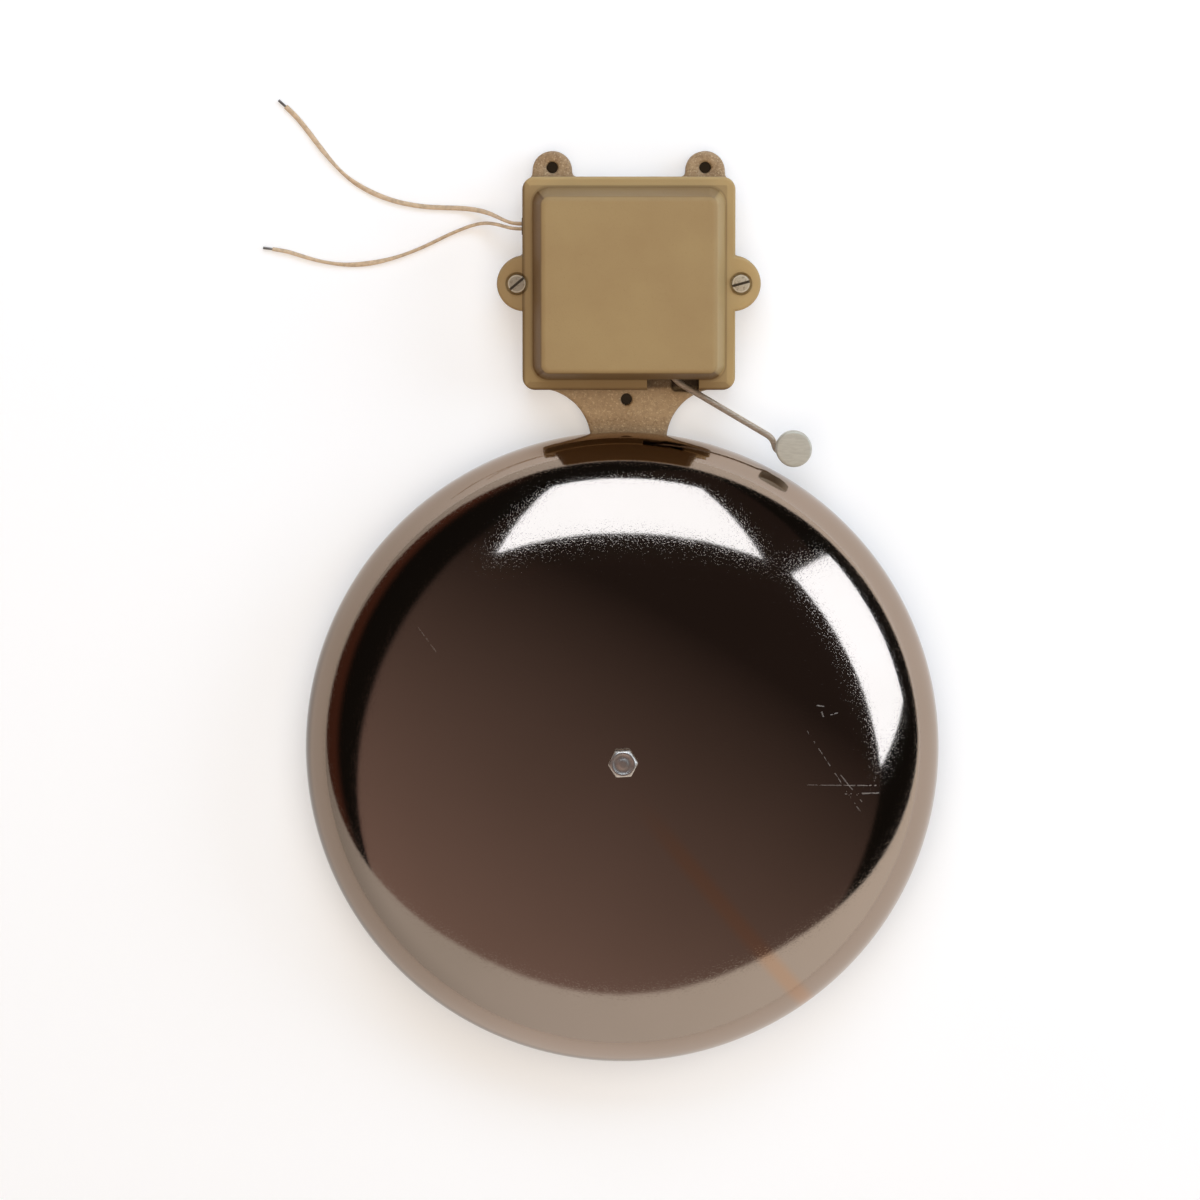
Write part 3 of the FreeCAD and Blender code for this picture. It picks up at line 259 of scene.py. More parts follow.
# %% A material and its nodes
class Finish:
    """A material, or the world, whose shader is fed by a few formulas."""

    def __init__(self, name, world=None):
        self.owner = world or bpy.data.materials.new(name)
        self.owner.use_nodes = True
        self.tree = self.owner.node_tree
        self.shader = self.found("BSDF_PRINCIPLED")

    def found(self, kind):
        """The tree's first node of a kind, if it has one."""
        return next((node for node in self.tree.nodes if node.type == kind), None)

    def node(self, kind, settings=None, inputs=None, output=0):
        """Add a node: its settings first, then the values or links of its sockets."""
        made = self.tree.nodes.new(kind)
        for key, setting in (settings or {}).items():
            setattr(made, key, setting)
        for key, given in (inputs or {}).items():
            self.feed(made.inputs[key], given)
        return Value(self, made.outputs[output])

    def feed(self, socket, given):
        """Link a Value to a socket, or set the socket to a constant."""
        if isinstance(given, Value):
            self.tree.links.new(given.socket, socket)
        elif isinstance(given, tuple) and socket.type == "RGBA":
            socket.default_value = (*given, 1.0)
        else:
            socket.default_value = given

    def place(self):
        """Where a point of the surface is, in metres from the bell's own origin."""
        return self.node("ShaderNodeTexCoord", output="Object")

    def split(self, vector):
        """The three parts of a vector, each a Value of its own."""
        parts = self.node("ShaderNodeSeparateXYZ", {}, {0: vector}).socket.node.outputs
        return [Value(self, part) for part in parts]

    def near(self, x, y, reach):
        """1 at a spot of the bell seen from the front, fading to 0 at reach from it."""
        here_x, here_y, _ = self.split(self.place())
        return 1.0 - distance(here_x - x, here_y - y).over(reach * 0.5, reach)

    def stretched(self, size, turn):
        """The place, turned about the vertical axis and scaled by size along each axis."""
        inputs = {"Vector": self.place(), "Scale": size, "Rotation": (0, 0, turn)}
        return self.node("ShaderNodeMapping", {}, inputs)

    def noise(self, per_metre, detail=3.0, rough=0.55, where=None):
        inputs = {"Scale": per_metre, "Detail": detail, "Roughness": rough,
                  "Vector": where or self.place()}
        return self.node("ShaderNodeTexNoise", {}, inputs)

    def mix(self, mask, first, second):
        """One colour where mask is 0 and another where it is 1."""
        inputs = {0: mask, 6: first, 7: second}
        return self.node("ShaderNodeMix", {"data_type": "RGBA"}, inputs, output=2)

    def bump(self, height, depth, strength=1.0, under=None):
        inputs = {"Height": height, "Distance": depth, "Strength": strength}
        if under:
            inputs["Normal"] = under
        return self.node("ShaderNodeBump", {}, inputs)

    def surface(self, **sockets):
        """Feed the Principled shader; an underscore in a name stands for a space."""
        for name, given in sockets.items():
            self.feed(self.shader.inputs[name.replace("_", " ")], given)
        return self.owner


def distance(off_x, off_y):
    """How far a point lies from a spot, from its two offsets."""
    return (off_x * off_x + off_y * off_y).math("SQRT")

# %% Putting a finish on
def dress(finish_material, *names):
    """Give a finish to CAD nodes or new pieces."""
    for name in names:
        piece = nodes[name] if name in nodes else bpy.data.objects[name]
        piece.data.materials.clear()
        piece.data.materials.append(finish_material)
        for polygon in piece.data.polygons:
            polygon.material_index = 0


def linear(red, green, blue):
    """A colour picked from the photograph (0 to 255) as the numbers a shader takes."""
    def one(part):
        part /= 255
        return part / 12.92 if part <= 0.04045 else ((part + 0.055) / 1.055) ** 2.4
    return (one(red), one(green), one(blue))


print("a middle grey is", round(linear(128, 128, 128)[0], 3), "for a shader")

# %% [markdown]
# ## The table
# One white plane is both floor and background. More light would whiten it, but would bleach the bell
# too, so the plane glows a little, and only for rays that see it directly, in a mirror or through
# glass. The plate's three wall holes read dark on the real bell, from the shade inside them. Painted
# shade, a dark colour on the floor beneath them, does that here, where the plate hides all of it but a
# dot.

# %% Table
TABLE_SIZE = 3.0
TABLE_LIFT = 0.30
TABLE_GLOW = 1.125
WALL_HOLES = ((-0.033, 0.2742), (0.039, 0.2742), (0.002, 0.165))
HOLE_REACH = 0.008
bpy.ops.mesh.primitive_plane_add(size=TABLE_SIZE, location=(0, 0, 0))
table = bpy.context.object
table.name = "table"
paper = Finish("table_white")
# Painted shade: the floor is painted dark under the plate's three wall holes.
first_hole, *other_holes = [paper.near(x, y, HOLE_REACH) for x, y in WALL_HOLES]
hole_shade = first_hole
for hole in other_holes:
    hole_shade = hole_shade + hole
white = paper.mix(hole_shade, (0.97, 0.97, 0.97), (0.05, 0.035, 0.022))
paper.surface(Base_Color=white, Roughness=0.9, Specular_IOR_Level=0.1)

# %% Paler shadows
camera_ray, glossy_ray, passing_ray = [
    paper.node("ShaderNodeLightPath", output=kind)
    for kind in ("Is Camera Ray", "Is Glossy Ray", "Is Transmission Ray")]
seen_share = (camera_ray + glossy_ray + passing_ray) * TABLE_LIFT
glow = paper.node("ShaderNodeEmission", {}, {"Color": white, "Strength": TABLE_GLOW})
lit = Value(paper, paper.shader.outputs[0])
paler = paper.node("ShaderNodeMixShader", {}, {0: seen_share, 1: lit, 2: glow})
paper.feed(paper.found("OUTPUT_MATERIAL").inputs["Surface"], paler)
dress(paper.owner, "table")
print("the table's shadows are lifted by", TABLE_LIFT)

# %% [markdown]
# ## The lamps that the gong mirrors
# Two large softboxes show on the dome as white shapes with sharp corners. Where a shape shows gives
# its direction, because a mirror sends a ray off at the angle at which it comes in. A picture of a
# room round the scene would mirror them too, but real lamps also cast the right shadows. A third
# lamp only fills the shadows and isn't mirrored.

# %% Lamps
LAMP_GLOW = 3.4
FILL_GLOW = 1.45
COOL = (0.80, 1.0, 1.26)
WARM = (1.15, 1.0, 0.82)


def light_panel(name, centre, across, facing, wide, tall, glow, tint, mirrored=True):
    """A rectangular lamp whose face glows with the brightness glow (white is 1) in the colour tint."""
    data = bpy.data.lights.new(name, "AREA")
    data.shape = "RECTANGLE"
    data.size, data.size_y = wide, tall
    data.energy = glow * math.pi * wide * tall
    data.color = tint
    lamp = bpy.data.objects.new(name, data)
    bpy.context.collection.objects.link(lamp)
    behind, side = -Vector(facing).normalized(), Vector(across).normalized()
    axes = Matrix((side, behind.cross(side), behind)).transposed().to_4x4()
    lamp.matrix_world = Matrix.Translation(centre) @ axes
    lamp.visible_glossy = mirrored
    print(name, round(data.energy), "W")


light_panel("lamp_top", (0.10, 2.77, 2.0), across=(1, 0, 0), facing=(0, 0, -1), wide=2.47, tall=2.43,
            glow=LAMP_GLOW, tint=COOL)
light_panel("lamp_right", (2.281, 0.676, 1.140), across=(0.59, -0.803, 0),
            facing=(-0.396, -0.306, -0.866), wide=1.9, tall=1.31, glow=LAMP_GLOW, tint=COOL)
light_panel("lamp_fill", (0.0, 0.1, 3.2), across=(1, 0, 0), facing=(0, 0, -1), wide=4.0, tall=4.0,
            glow=FILL_GLOW, tint=WARM, mirrored=False)

# %% [markdown]
# ## The room that the gong mirrors
# Between the lamps the dome shows a dim brown ceiling, black walls, and pale boards that stand higher
# on the near side. They could be built as walls, but a mirror this round shows only their direction,
# so the world is painted by direction: its three parts are how far east, north and up a ray goes.

# %% Directions and the pale boards
NEAR_BOARDS_TOP = 0.566
FAR_BOARDS_TOP = 0.18
world = bpy.data.worlds.new("room")
bpy.context.scene.world = world
room = Finish("room", world)
east, north, up = room.split(room.node("ShaderNodeTexCoord", output="Generated"))
level = (1.0 - up * up).math("MAXIMUM", 0.0001).math("SQRT")
towards_case = north / level
near_side = (towards_case * -1).math("MAXIMUM", 0.0)
far_side = towards_case.math("MAXIMUM", 0.0)
skyline = near_side.over(0.0, 1.0) * NEAR_BOARDS_TOP + far_side * far_side * FAR_BOARDS_TOP
boards = room.mix((0.90 + east * 0.25) / 1.5, (0.0, 0.0, 0.0), (1.5, 1.5, 1.5))
print("the boards end at", NEAR_BOARDS_TOP, "near and", FAR_BOARDS_TOP, "far")

# %% Ceiling and black walls
CEILING_BROWN = (0.36, 0.264, 0.243)
CEILING_FULL = 0.3
WALL_BLACK = (0.012, 0.011, 0.010)
ceiling_light = (0.102 - east * 0.122 - north * 0.20).math("MAXIMUM", 0.028)
ceiling = room.mix(ceiling_light / CEILING_FULL, (0.0, 0.0, 0.0), CEILING_BROWN)
height = up.math("MAXIMUM", 0.01)
past_left_edge = ((north * 0.563 - east * 0.826) / height).over(1.22, 1.40)
past_right_edge = (east / height).over(1.55, 1.75)
above = room.mix(past_left_edge.math("MAXIMUM", past_right_edge), ceiling, WALL_BLACK)
low_left = (0.0 - east).over(0.25, 0.6) * (1.0 - up.over(0.16, 0.30))
above = room.mix(low_left, above, (0.120, 0.045, 0.030))
seen = room.mix((up - skyline).over(-0.02, 0.02), boards, above)
background = room.found("BACKGROUND")
room.feed(background.inputs["Color"], seen)
background.inputs["Strength"].default_value = 1.0
print("room painted with", len(room.tree.nodes), "nodes")

# %% [markdown]
# ## The gong
# A gong is spun from sheet metal, so the mesh is spun as well: one half outline, drawn as an ellipse
# with a short straight skirt and a rounded lip, turned round the axis in edit mode. A squashed sphere
# would be quicker, but it has no wall, no lip and no bolt hole.

# %% Gong outline
low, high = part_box("gong")
GONG_RADIUS = (high[0] - low[0]) / 2
GONG_LIFT = low[2]
GONG_TOP = high[2]
GONG_SKIRT = 0.003
GONG_WALL = 0.003
BOLT_HOLE = 0.0041
DOME_STEPS = 56
LIP_STEPS = 8


def ellipse_run(radius, height, base, steps):
    """Points from the skirt up to the bolt hole along an ellipse."""
    end = math.acos(BOLT_HOLE / radius)
    angles = [end * i / steps for i in range(steps + 1)]
    return [(radius * math.cos(a), base + height * math.sin(a)) for a in angles]


dome_base = GONG_LIFT + GONG_SKIRT
dome_rise = GONG_TOP - dome_base
outer = ellipse_run(GONG_RADIUS, dome_rise, dome_base, DOME_STEPS)
inner = ellipse_run(GONG_RADIUS - GONG_WALL, dome_rise - GONG_WALL, dome_base, DOME_STEPS)
half_wall = GONG_WALL / 2
lip = [(GONG_RADIUS - half_wall + half_wall * math.cos(a), GONG_LIFT + half_wall - half_wall * math.sin(a))
       for a in (math.pi * i / LIP_STEPS for i in range(LIP_STEPS + 1))]
gong_outline = list(reversed(inner)) + list(reversed(lip)) + outer
print("gong outline has", len(gong_outline), "points")

# %% Gong on the lathe
GONG_SPIN_STEPS = 240
SPIN_SHADE_ANGLE = 40


def spun(name, outline, steps, closed=True, centre=(0.0, 0.0)):
    """Turn a half outline of (radius, height) round a vertical axis through centre, as on a lathe."""
    count = len(outline)
    edges = [(i, i + 1) for i in range(count - 1)] + ([(count - 1, 0)] if closed else [])
    piece = start_piece(name, [(centre[0] + r, centre[1], z) for r, z in outline], edges, [])
    bpy.ops.mesh.spin(steps=steps, angle=2 * math.pi, center=(*centre, 0), axis=(0, 0, 1))
    bpy.ops.mesh.select_all(action="SELECT")
    bpy.ops.mesh.remove_doubles(threshold=1e-7)
    close_piece(SPIN_SHADE_ANGLE)
    return piece


gong = spun("bell_gong", gong_outline, GONG_SPIN_STEPS)
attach(gong, "frame")
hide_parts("gong")
print("gong has", len(gong.data.polygons), "faces")

# %% [markdown]
# ## The gong's metal
# The gong is plated and polished, and what is seen on it is mostly the room. The metal's own colour
# is a warm brown with a slight haze. It carries an orange streak at the lower right. The left of the
# rim is painted darker and browner, and a dark line is painted along the lower left edge: both are
# painted reflection of the table's shade beside the gong, on the side away from the lamps. All of
# these are masks on the place, because a picture wrapped round the dome would stretch towards its rim.

# %% Gong colour
shine = Finish("gong_metal")
here_x, here_y, _ = shine.split(shine.place())
haze = shine.noise(9.0, 4.0)
tone = shine.mix(haze.over(0.35, 0.7), (0.375, 0.290, 0.230), (0.355, 0.275, 0.215))
print("gong colour started")

# %% Streak
STREAK_WAY = (0.6245, -0.781)
STREAK_OFF_AXIS = 0.00623
STREAK_ORANGE = (0.44, 0.255, 0.15)
across_streak = (here_x * -STREAK_WAY[1] + here_y * STREAK_WAY[0] + STREAK_OFF_AXIS).math("ABSOLUTE")
along_streak = here_x * STREAK_WAY[0] + here_y * STREAK_WAY[1]
streak = (1.0 - across_streak.over(0.001, 0.0065)) * along_streak.over(0.012, 0.060)
tone = shine.mix(streak * 0.6, tone, STREAK_ORANGE)
print("streak runs at", round(math.degrees(math.atan2(STREAK_WAY[1], STREAK_WAY[0]))), "degrees")

# %% Painted shade on the rim
RIM_SHADE_BROWN = (0.155, 0.112, 0.080)
EDGE_SHADE_BROWN = (0.055, 0.038, 0.028)
from_axis = distance(here_x, here_y)
leftward = (here_x * -1) / GONG_RADIUS
lower_left = (here_x * -0.77 - here_y * 0.64) / GONG_RADIUS
# Painted reflection of shade: the left of the rim is painted darker and browner.
shading = from_axis.over(0.128, 0.141) * leftward.over(0.2, 0.95)
# Painted reflection of shade: a dark line along the lower left edge.
edge_shade = from_axis.over(0.1462, 0.1492) * lower_left.over(0.25, 0.75)
tone = shine.mix(shading * 0.55, tone, RIM_SHADE_BROWN)
tone = shine.mix(edge_shade * 0.85, tone, EDGE_SHADE_BROWN)
print("rim tarnish added")

# %% [markdown]
# ## Scratches and grain
# Each scratch is a thin line that skips where it didn't bite. A line can be painted on a picture, but
# the distance from a segment is exact at any size. Round the mirrored lamps the polish shows its fine
# grain: tiny pits and peel, some microns deep, that throw sparks of the lamp beside its edge.

# %% Scratches
SCRATCHES = (
    ((0.0830, -0.0116), (0.1217, -0.0137), 0.00032, 0.54),
    ((0.1020, -0.0168), (0.1210, -0.0172), 0.00045, 0.50),
    ((0.0837, 0.0167), (0.1134, -0.0291), 0.00032, 0.48),
    ((0.0980, -0.0030), (0.1150, -0.0250), 0.00035, 0.47),
    ((0.0900, 0.0252), (0.0940, 0.0246), 0.00045, 0.70),
    ((0.0925, 0.0225), (0.0935, 0.0195), 0.00045, 0.70),
    ((0.0965, 0.0205), (0.1005, 0.0215), 0.00035, 0.60),
    ((-0.0960, 0.0620), (-0.0860, 0.0490), 0.00035, 0.50))
skipping = shine.noise(420.0, 2.0)


def scratch(start, end, half_width, whole):
    """A thin line on the dome seen from the front, from start to end; whole is the share left unbroken."""
    far = math.dist(start, end)
    go_x, go_y = (end[0] - start[0]) / far, (end[1] - start[1]) / far
    off_x, off_y = here_x - start[0], here_y - start[1]
    along = off_x * go_x + off_y * go_y
    aside = (off_y * go_x - off_x * go_y).math("ABSOLUTE")
    line = (1.0 - aside.over(half_width * 0.5, half_width)) * along.over(0.0, far * 0.1)
    return line * (1.0 - along.over(far * 0.9, far)) * (1.0 - skipping.over(whole, whole + 0.06))


marks = scratch(*SCRATCHES[0])
for line in SCRATCHES[1:]:
    marks = marks + scratch(*line)
tone = shine.mix(marks.math("MINIMUM", 1.0) * 0.5, tone, (0.66, 0.53, 0.42))
print("scratches", len(SCRATCHES))

# %% Grain
WAVES_DEEP = 0.0000300
PEEL_DEEP = 0.0000030
PITS_DEEP = 0.0000070
dust = shine.noise(1100.0, 1.0).over(0.74, 0.78)
peel = shine.noise(1400.0, 2.0)
pits = shine.noise(1350.0, 1.0).over(0.57, 0.72)
waves = shine.noise(45.0, 2.0)
normal = shine.bump(peel, PEEL_DEEP, under=shine.bump(pits, PITS_DEEP))
normal = shine.bump(waves, WAVES_DEEP, under=normal)
shine.surface(Base_Color=tone, Metallic=1.0, Roughness=0.060 + dust * 0.10 + marks * 0.30, Normal=normal)
dress(shine.owner, "bell_gong")
print("pits are", round(PITS_DEEP * 1e6), "microns deep")

# %% [markdown]
# ## Base and cover with soft edges
# The base is a sand casting, with no sharp edge and no perfectly flat face. Its CAD mesh is copied,
# its doubled corners are merged, and it is rebuilt from small cubes and smoothed, so that edges and
# inner corners soften by themselves, and a shallow displacement gives it the sand's unevenness. The
# cover is a cleaner casting with flat faces, which such a rebuild would make lumpy, so its copy only
# gets a narrow bevel on its edges.

# %% Copies of the CAD
def merged_copy(node, name, body="frame"):
    """A copy of a CAD mesh with its doubled corners merged, as a piece of its own."""
    piece = bpy.data.objects.new(name, nodes[node].data.copy())
    bpy.context.collection.objects.link(piece)
    edit(piece)
    bpy.ops.mesh.select_all(action="SELECT")
    bpy.ops.mesh.remove_doubles(threshold=1e-6)
    bpy.ops.object.mode_set(mode="OBJECT")
    if body:
        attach(piece, body)
    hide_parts(node)
    return piece


def apply_modifier(piece, kind, **settings):
    """Add a modifier and apply it at once."""
    modifier = piece.modifiers.new(kind.lower(), kind)
    for key, setting in settings.items():
        setattr(modifier, key, setting)
    bpy.ops.object.modifier_apply(modifier=modifier.name)


def bevel(piece, width, segments, shade_angle):
    """Round every edge sharper than 50 degrees."""
    apply_modifier(piece, "BEVEL", width=width, segments=segments, limit_method="ANGLE",
                   angle_limit=math.radians(50))
    bpy.ops.object.shade_smooth_by_angle(angle=math.radians(shade_angle))

# %% Base
CAST_CUBE = 0.00085
CAST_DEPTH = 0.00022
sand = bpy.data.textures.new("sand", "CLOUDS")
sand.noise_scale = 0.004
sand.noise_depth = 2
casting = merged_copy("base_casting", "cast_base")
apply_modifier(casting, "REMESH", mode="VOXEL", voxel_size=CAST_CUBE)
apply_modifier(casting, "SMOOTH", factor=0.5, iterations=5)
apply_modifier(casting, "DISPLACE", texture=sand, strength=CAST_DEPTH, mid_level=1.0)
for vertex in casting.data.vertices:
    vertex.co.z = max(vertex.co.z, 0.0)
bpy.ops.object.shade_smooth()
print("base has", len(casting.data.polygons), "faces")

# %% Cover
cover = merged_copy("case_cover", "cast_cover")
bevel(cover, 0.0004, 2, shade_angle=35)
print("cover has", len(cover.data.polygons), "faces")

# %% [markdown]
# ## The base's paint
# The base has a sandy tan paint with small light grains. The strip nearest the gong is painted paler,
# as painted light where the case shades it; the ears are a little darker; and the arm's notch under
# the cover is painted dark, as painted shade. One flat colour with a bump would look like plastic, so
# noise of three sizes varies the colour as well.

# %% Base paint
cast = Finish("cast_paint")
patch = cast.noise(60.0, 4.0)
sandy = cast.noise(750.0, 4.0, rough=0.7)
glitter = cast.noise(1150.0, 2.0).over(0.56, 0.68)
paint = cast.mix(patch.over(0.3, 0.7), linear(176, 149, 114), linear(160, 132, 99))
paint = cast.mix((1.0 - sandy.over(0.40, 0.54)) * 0.45, paint, linear(118, 93, 67))
paint = cast.mix(glitter * 0.7, paint, linear(212, 188, 152))
print("base paint mixed")

# %% Painted light on the foot, darker ears, painted shade in the notch
plate_x, plate_y, off_wall = cast.split(cast.place())
lit_foot = plate_y.over(0.154, 0.160) * (1.0 - plate_y.over(0.1685, 0.1710))
ears = plate_y.over(0.262, 0.266)
in_notch = plate_y.over(0.1695, 0.1715) * (1.0 - plate_y.over(0.200, 0.210))
in_notch = in_notch * plate_x.over(0.0100, 0.0115) * (1.0 - plate_x.over(0.0360, 0.0380))
in_well = 1.0 - off_wall.over(0.0070, 0.0090)
# Painted light: the strip between gong and case is painted paler where the case shades it.
paint = cast.mix(lit_foot * 0.3, paint, linear(206, 180, 142))
paint = cast.mix(ears * 0.14, paint, linear(110, 82, 56))
# Painted shade: the notch under the cover is painted dark, and darker still deep in its well.
paint = cast.mix(in_notch * (0.60 + in_well * 0.22), paint, linear(46, 33, 25))
print("base paint worn and darkened")

# %% Base relief
MARK_PLACE = (0.0038, 0.1583)
MARK_RADIUS = 0.0015
from_mark = distance(plate_x - MARK_PLACE[0], plate_y - MARK_PLACE[1])
mark_ring = 1.0 - (from_mark - MARK_RADIUS).math("ABSOLUTE").over(0.0001, 0.0006)
relief = sandy + patch * 0.5 + mark_ring * 0.8
cast.surface(Base_Color=paint, Metallic=0.0, Roughness=0.50 + patch * 0.15, Specular_IOR_Level=0.25,
             Normal=cast.bump(relief, 0.00030, 0.9))
dress(cast.owner, "cast_base")
print("the small cast ring is", MARK_RADIUS * 2000, "mm across")

# %% [markdown]
# ## The cover's paint
# The cover is painted the same tan but smoother. Its box's left and lower slopes, its upper slope a
# little, its left and lower edges, its lower flange and the crease at the box's foot are painted
# darker, as painted shade; its right slope and its right and upper flange are painted paler, as
# painted light. A mask needs to know which side of the case a point is on and how far out: the
# greatest of four offsets gives the square flange, and the distance from an inner square gives the
# box with its rounded corners.

# %% Cover coat
enamel = Finish("cover_paint")
cloud = enamel.noise(28.0, 4.0)
speck = enamel.noise(1500.0, 2.0)
coat = enamel.mix(cloud.over(0.3, 0.7), linear(159, 134, 93), linear(153, 127, 88))
coat = enamel.mix(speck.over(0.62, 0.75) * 0.35, coat, linear(136, 112, 76))
print("cover coat mixed")

# %% Sides of the case
BOX_STRAIGHT = 0.0375
case_x, case_y, _ = enamel.split(enamel.place())
side, along = case_x - CASE.x, case_y - CASE.y
left, right, low, top = side * -1, side, along * -1, along
widest = left.math("MAXIMUM", right).math("MAXIMUM", low.math("MAXIMUM", top))
corner_x = (side.math("ABSOLUTE") - BOX_STRAIGHT).math("MAXIMUM", 0.0)
corner_y = (along.math("ABSOLUTE") - BOX_STRAIGHT).math("MAXIMUM", 0.0)
out = distance(corner_x, corner_y) + BOX_STRAIGHT


def faces(way):
    """1 on the quarter of the case that lies towards way."""
    return 1.0 - (widest - way).over(0.0, 0.0012)


print("the box's straight sides end", BOX_STRAIGHT * 1000, "mm from the middle")

# %% Dark slopes and edges, painted shade
BOX_FOOT = 0.0456
slope = out.over(0.0404, 0.0414) * (1.0 - out.over(0.0450, BOX_FOOT))
# Painted shade by side: left and lower slopes darkest, the upper less, the right hardly at all.
shaded = faces(left) * 0.74 + faces(low) * 0.66 + faces(top) * 0.36 + faces(right) * 0.04
coat = enamel.mix((slope * shaded).math("MINIMUM", 0.9), coat, linear(96, 66, 36))
# Painted shade: a thin dark line in the crease at the box's foot.
crease_shade = 1.0 - (out - BOX_FOOT).math("ABSOLUTE").over(0.0002, 0.0008)
coat = enamel.mix(crease_shade * 0.25, coat, linear(92, 70, 44))
# Painted shade on the skirt's left and lower edges.
skirt_shade = widest.over(0.0482, 0.0497) * (1.0 - widest.over(0.0500, 0.0503))
skirt_shade = skirt_shade * (faces(left) + faces(low) * 0.9)
coat = enamel.mix(skirt_shade.math("MINIMUM", 1.0) * 0.6, coat, linear(84, 60, 38))
print("cover darkened on its left and lower sides")

# %% Pale flange, painted light, and painted shade on the lower flange
flange = widest.over(0.0458, 0.0464)
# Painted shade on the lower flange, then painted light on the right slope and the right and upper flange.
coat = enamel.mix(flange * faces(low) * 0.25, coat, linear(96, 66, 36))
sunny = slope * faces(right) + flange * (faces(right) + faces(top) * 1.15)
coat = enamel.mix(sunny.math("MINIMUM", 1.2) * 0.45, coat, linear(190, 162, 112))
enamel.surface(Base_Color=coat, Metallic=0.0, Roughness=0.52 + cloud * 0.12, Specular_IOR_Level=0.12,
               Normal=enamel.bump(speck, 0.00012, 0.6))
dress(enamel.owner, "cast_cover")
print("cover finish has", len(enamel.tree.nodes), "nodes")

# %% [markdown]
# ## The gong's bolt
# A hexagon head is a prism cut by a cone, so its top edge dips at each corner. A boolean cut leaves
# ragged triangles there. Stacked rings make a clean one: each gives a radius and a height for every
# angle, from the shank up over the head and in to the mark in its middle.

# %% Rings
def ringed(name, rings, steps, shade_angle):
    """A closed piece from rings stacked outside to inside; a ring gives (radius, height) at an angle."""
    vertices = []
    for ring in rings:
        for k in range(steps):
            angle = 2 * math.pi * k / steps
            radius, height = ring(angle)
            vertices.append((radius * math.cos(angle), radius * math.sin(angle), height))
    piece = start_piece(name, vertices, [], tube_faces(len(rings), steps))
    close_piece(shade_angle)
    return piece


def level_ring(radius, height):
    return lambda angle: (radius, height)

# %% Bolt sizes
BOLT_HALF_FLATS = 0.006
BOLT_TURN = math.radians(3)
BOLT_HEAD = 0.0055
BOLT_CHAMFER = 0.0055
BOLT_SHANK = 0.004
BOLT_STEPS = 144
SOFT = 0.0002
low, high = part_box("gong_bolt")
bolt_low, bolt_top = low[2], high[2]
head_low = bolt_top - BOLT_HEAD


def hexagon_radius(angle):
    part = (angle - BOLT_TURN) % (math.pi / 3) - math.pi / 6
    return BOLT_HALF_FLATS / math.cos(part)


def past_chamfer(angle):
    """How far the hexagon stands out past the circle where the cone begins."""
    return hexagon_radius(angle) - BOLT_CHAMFER


print("bolt is", round((bolt_top - bolt_low) * 1000, 1), "mm long")

# %% Bolt
bolt = ringed("hexagon_bolt", [
    level_ring(BOLT_SHANK, bolt_low), level_ring(BOLT_SHANK, head_low),
    lambda angle: (hexagon_radius(angle) - SOFT, head_low),
    lambda angle: (hexagon_radius(angle), head_low + SOFT),
    lambda angle: (hexagon_radius(angle), bolt_top - SOFT - past_chamfer(angle) * 0.62),
    lambda angle: (hexagon_radius(angle) - SOFT, bolt_top - past_chamfer(angle) * 0.6),
    level_ring(BOLT_CHAMFER, bolt_top - 0.00005), level_ring(BOLT_CHAMFER - 0.0003, bolt_top),
    level_ring(0.0046, bolt_top - 0.0001), level_ring(0.0042, bolt_top - 0.00035),
    level_ring(0.0026, bolt_top - 0.00040), level_ring(0.0023, bolt_top - 0.00022),
    level_ring(0.0010, bolt_top - 0.00018)], BOLT_STEPS, shade_angle=35)
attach(bolt, "frame")
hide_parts("gong_bolt")
print("bolt has", len(bolt.data.polygons), "faces")

# %% [markdown]
# ## Hammer and screws
# The hammer is a turned steel disc, so it is spun as the gong is, from an outline with rounded edges
# and a slightly crowned face. A bevelled cylinder would leave the face flat, and a flat face mirrors
# one even grey. The cover's screws keep their CAD shape, with worn edges from a bevel.

# %% Hammer
HAMMER_EDGE = 0.0011
HAMMER_CROWN = 0.00018
HAMMER_SPIN_STEPS = 96
low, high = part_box("hammer")
hammer_radius = (high[0] - low[0]) / 2
hammer_centre = ((low[0] + high[0]) / 2, (low[1] + high[1]) / 2)
rounding = [(hammer_radius - HAMMER_EDGE + HAMMER_EDGE * math.cos(a), HAMMER_EDGE * math.sin(a))
            for a in (math.pi / 12 * i for i in range(7))]
lower = [(radius, low[2] + HAMMER_EDGE - rise) for radius, rise in reversed(rounding)]
upper = [(radius, high[2] - HAMMER_CROWN - HAMMER_EDGE + rise) for radius, rise in rounding]
crown = [(hammer_radius * share, high[2] - HAMMER_CROWN * drop)
         for share, drop in ((0.6, 0.35), (0.3, 0.08), (0.0, 0.0))]
hammer = spun("turned_hammer", [(0.0, low[2])] + lower + upper + crown, HAMMER_SPIN_STEPS,
              closed=False, centre=hammer_centre)
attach(hammer, "striker")
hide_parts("hammer")
print("hammer is", round(hammer_radius * 2000, 1), "mm across")

# %% Cover screws
screws = merged_copy("cover_screws", "worn_screws")
bevel(screws, 0.00028, 3, shade_angle=40)
print("screws have", len(screws.data.polygons), "faces")

# %% [markdown]
# ## The return spring
# The return spring is a strip of steel, riveted to its post, that presses on the armature inside the
# case. A rigid copy would cut into the armature at the strike. Its copy is cut into short lengths.

# %% Return spring
SPRING_CUTS = 7
spring = merged_copy("return_spring", "bending_spring", body=None)
edit(spring)
bpy.ops.mesh.select_all(action="SELECT")
bpy.ops.mesh.subdivide(number_cuts=SPRING_CUTS)
bpy.ops.object.mode_set(mode="OBJECT")
bpy.ops.object.shade_smooth_by_angle(angle=math.radians(40))
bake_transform(spring)
print("spring has", len(spring.data.polygons), "faces")

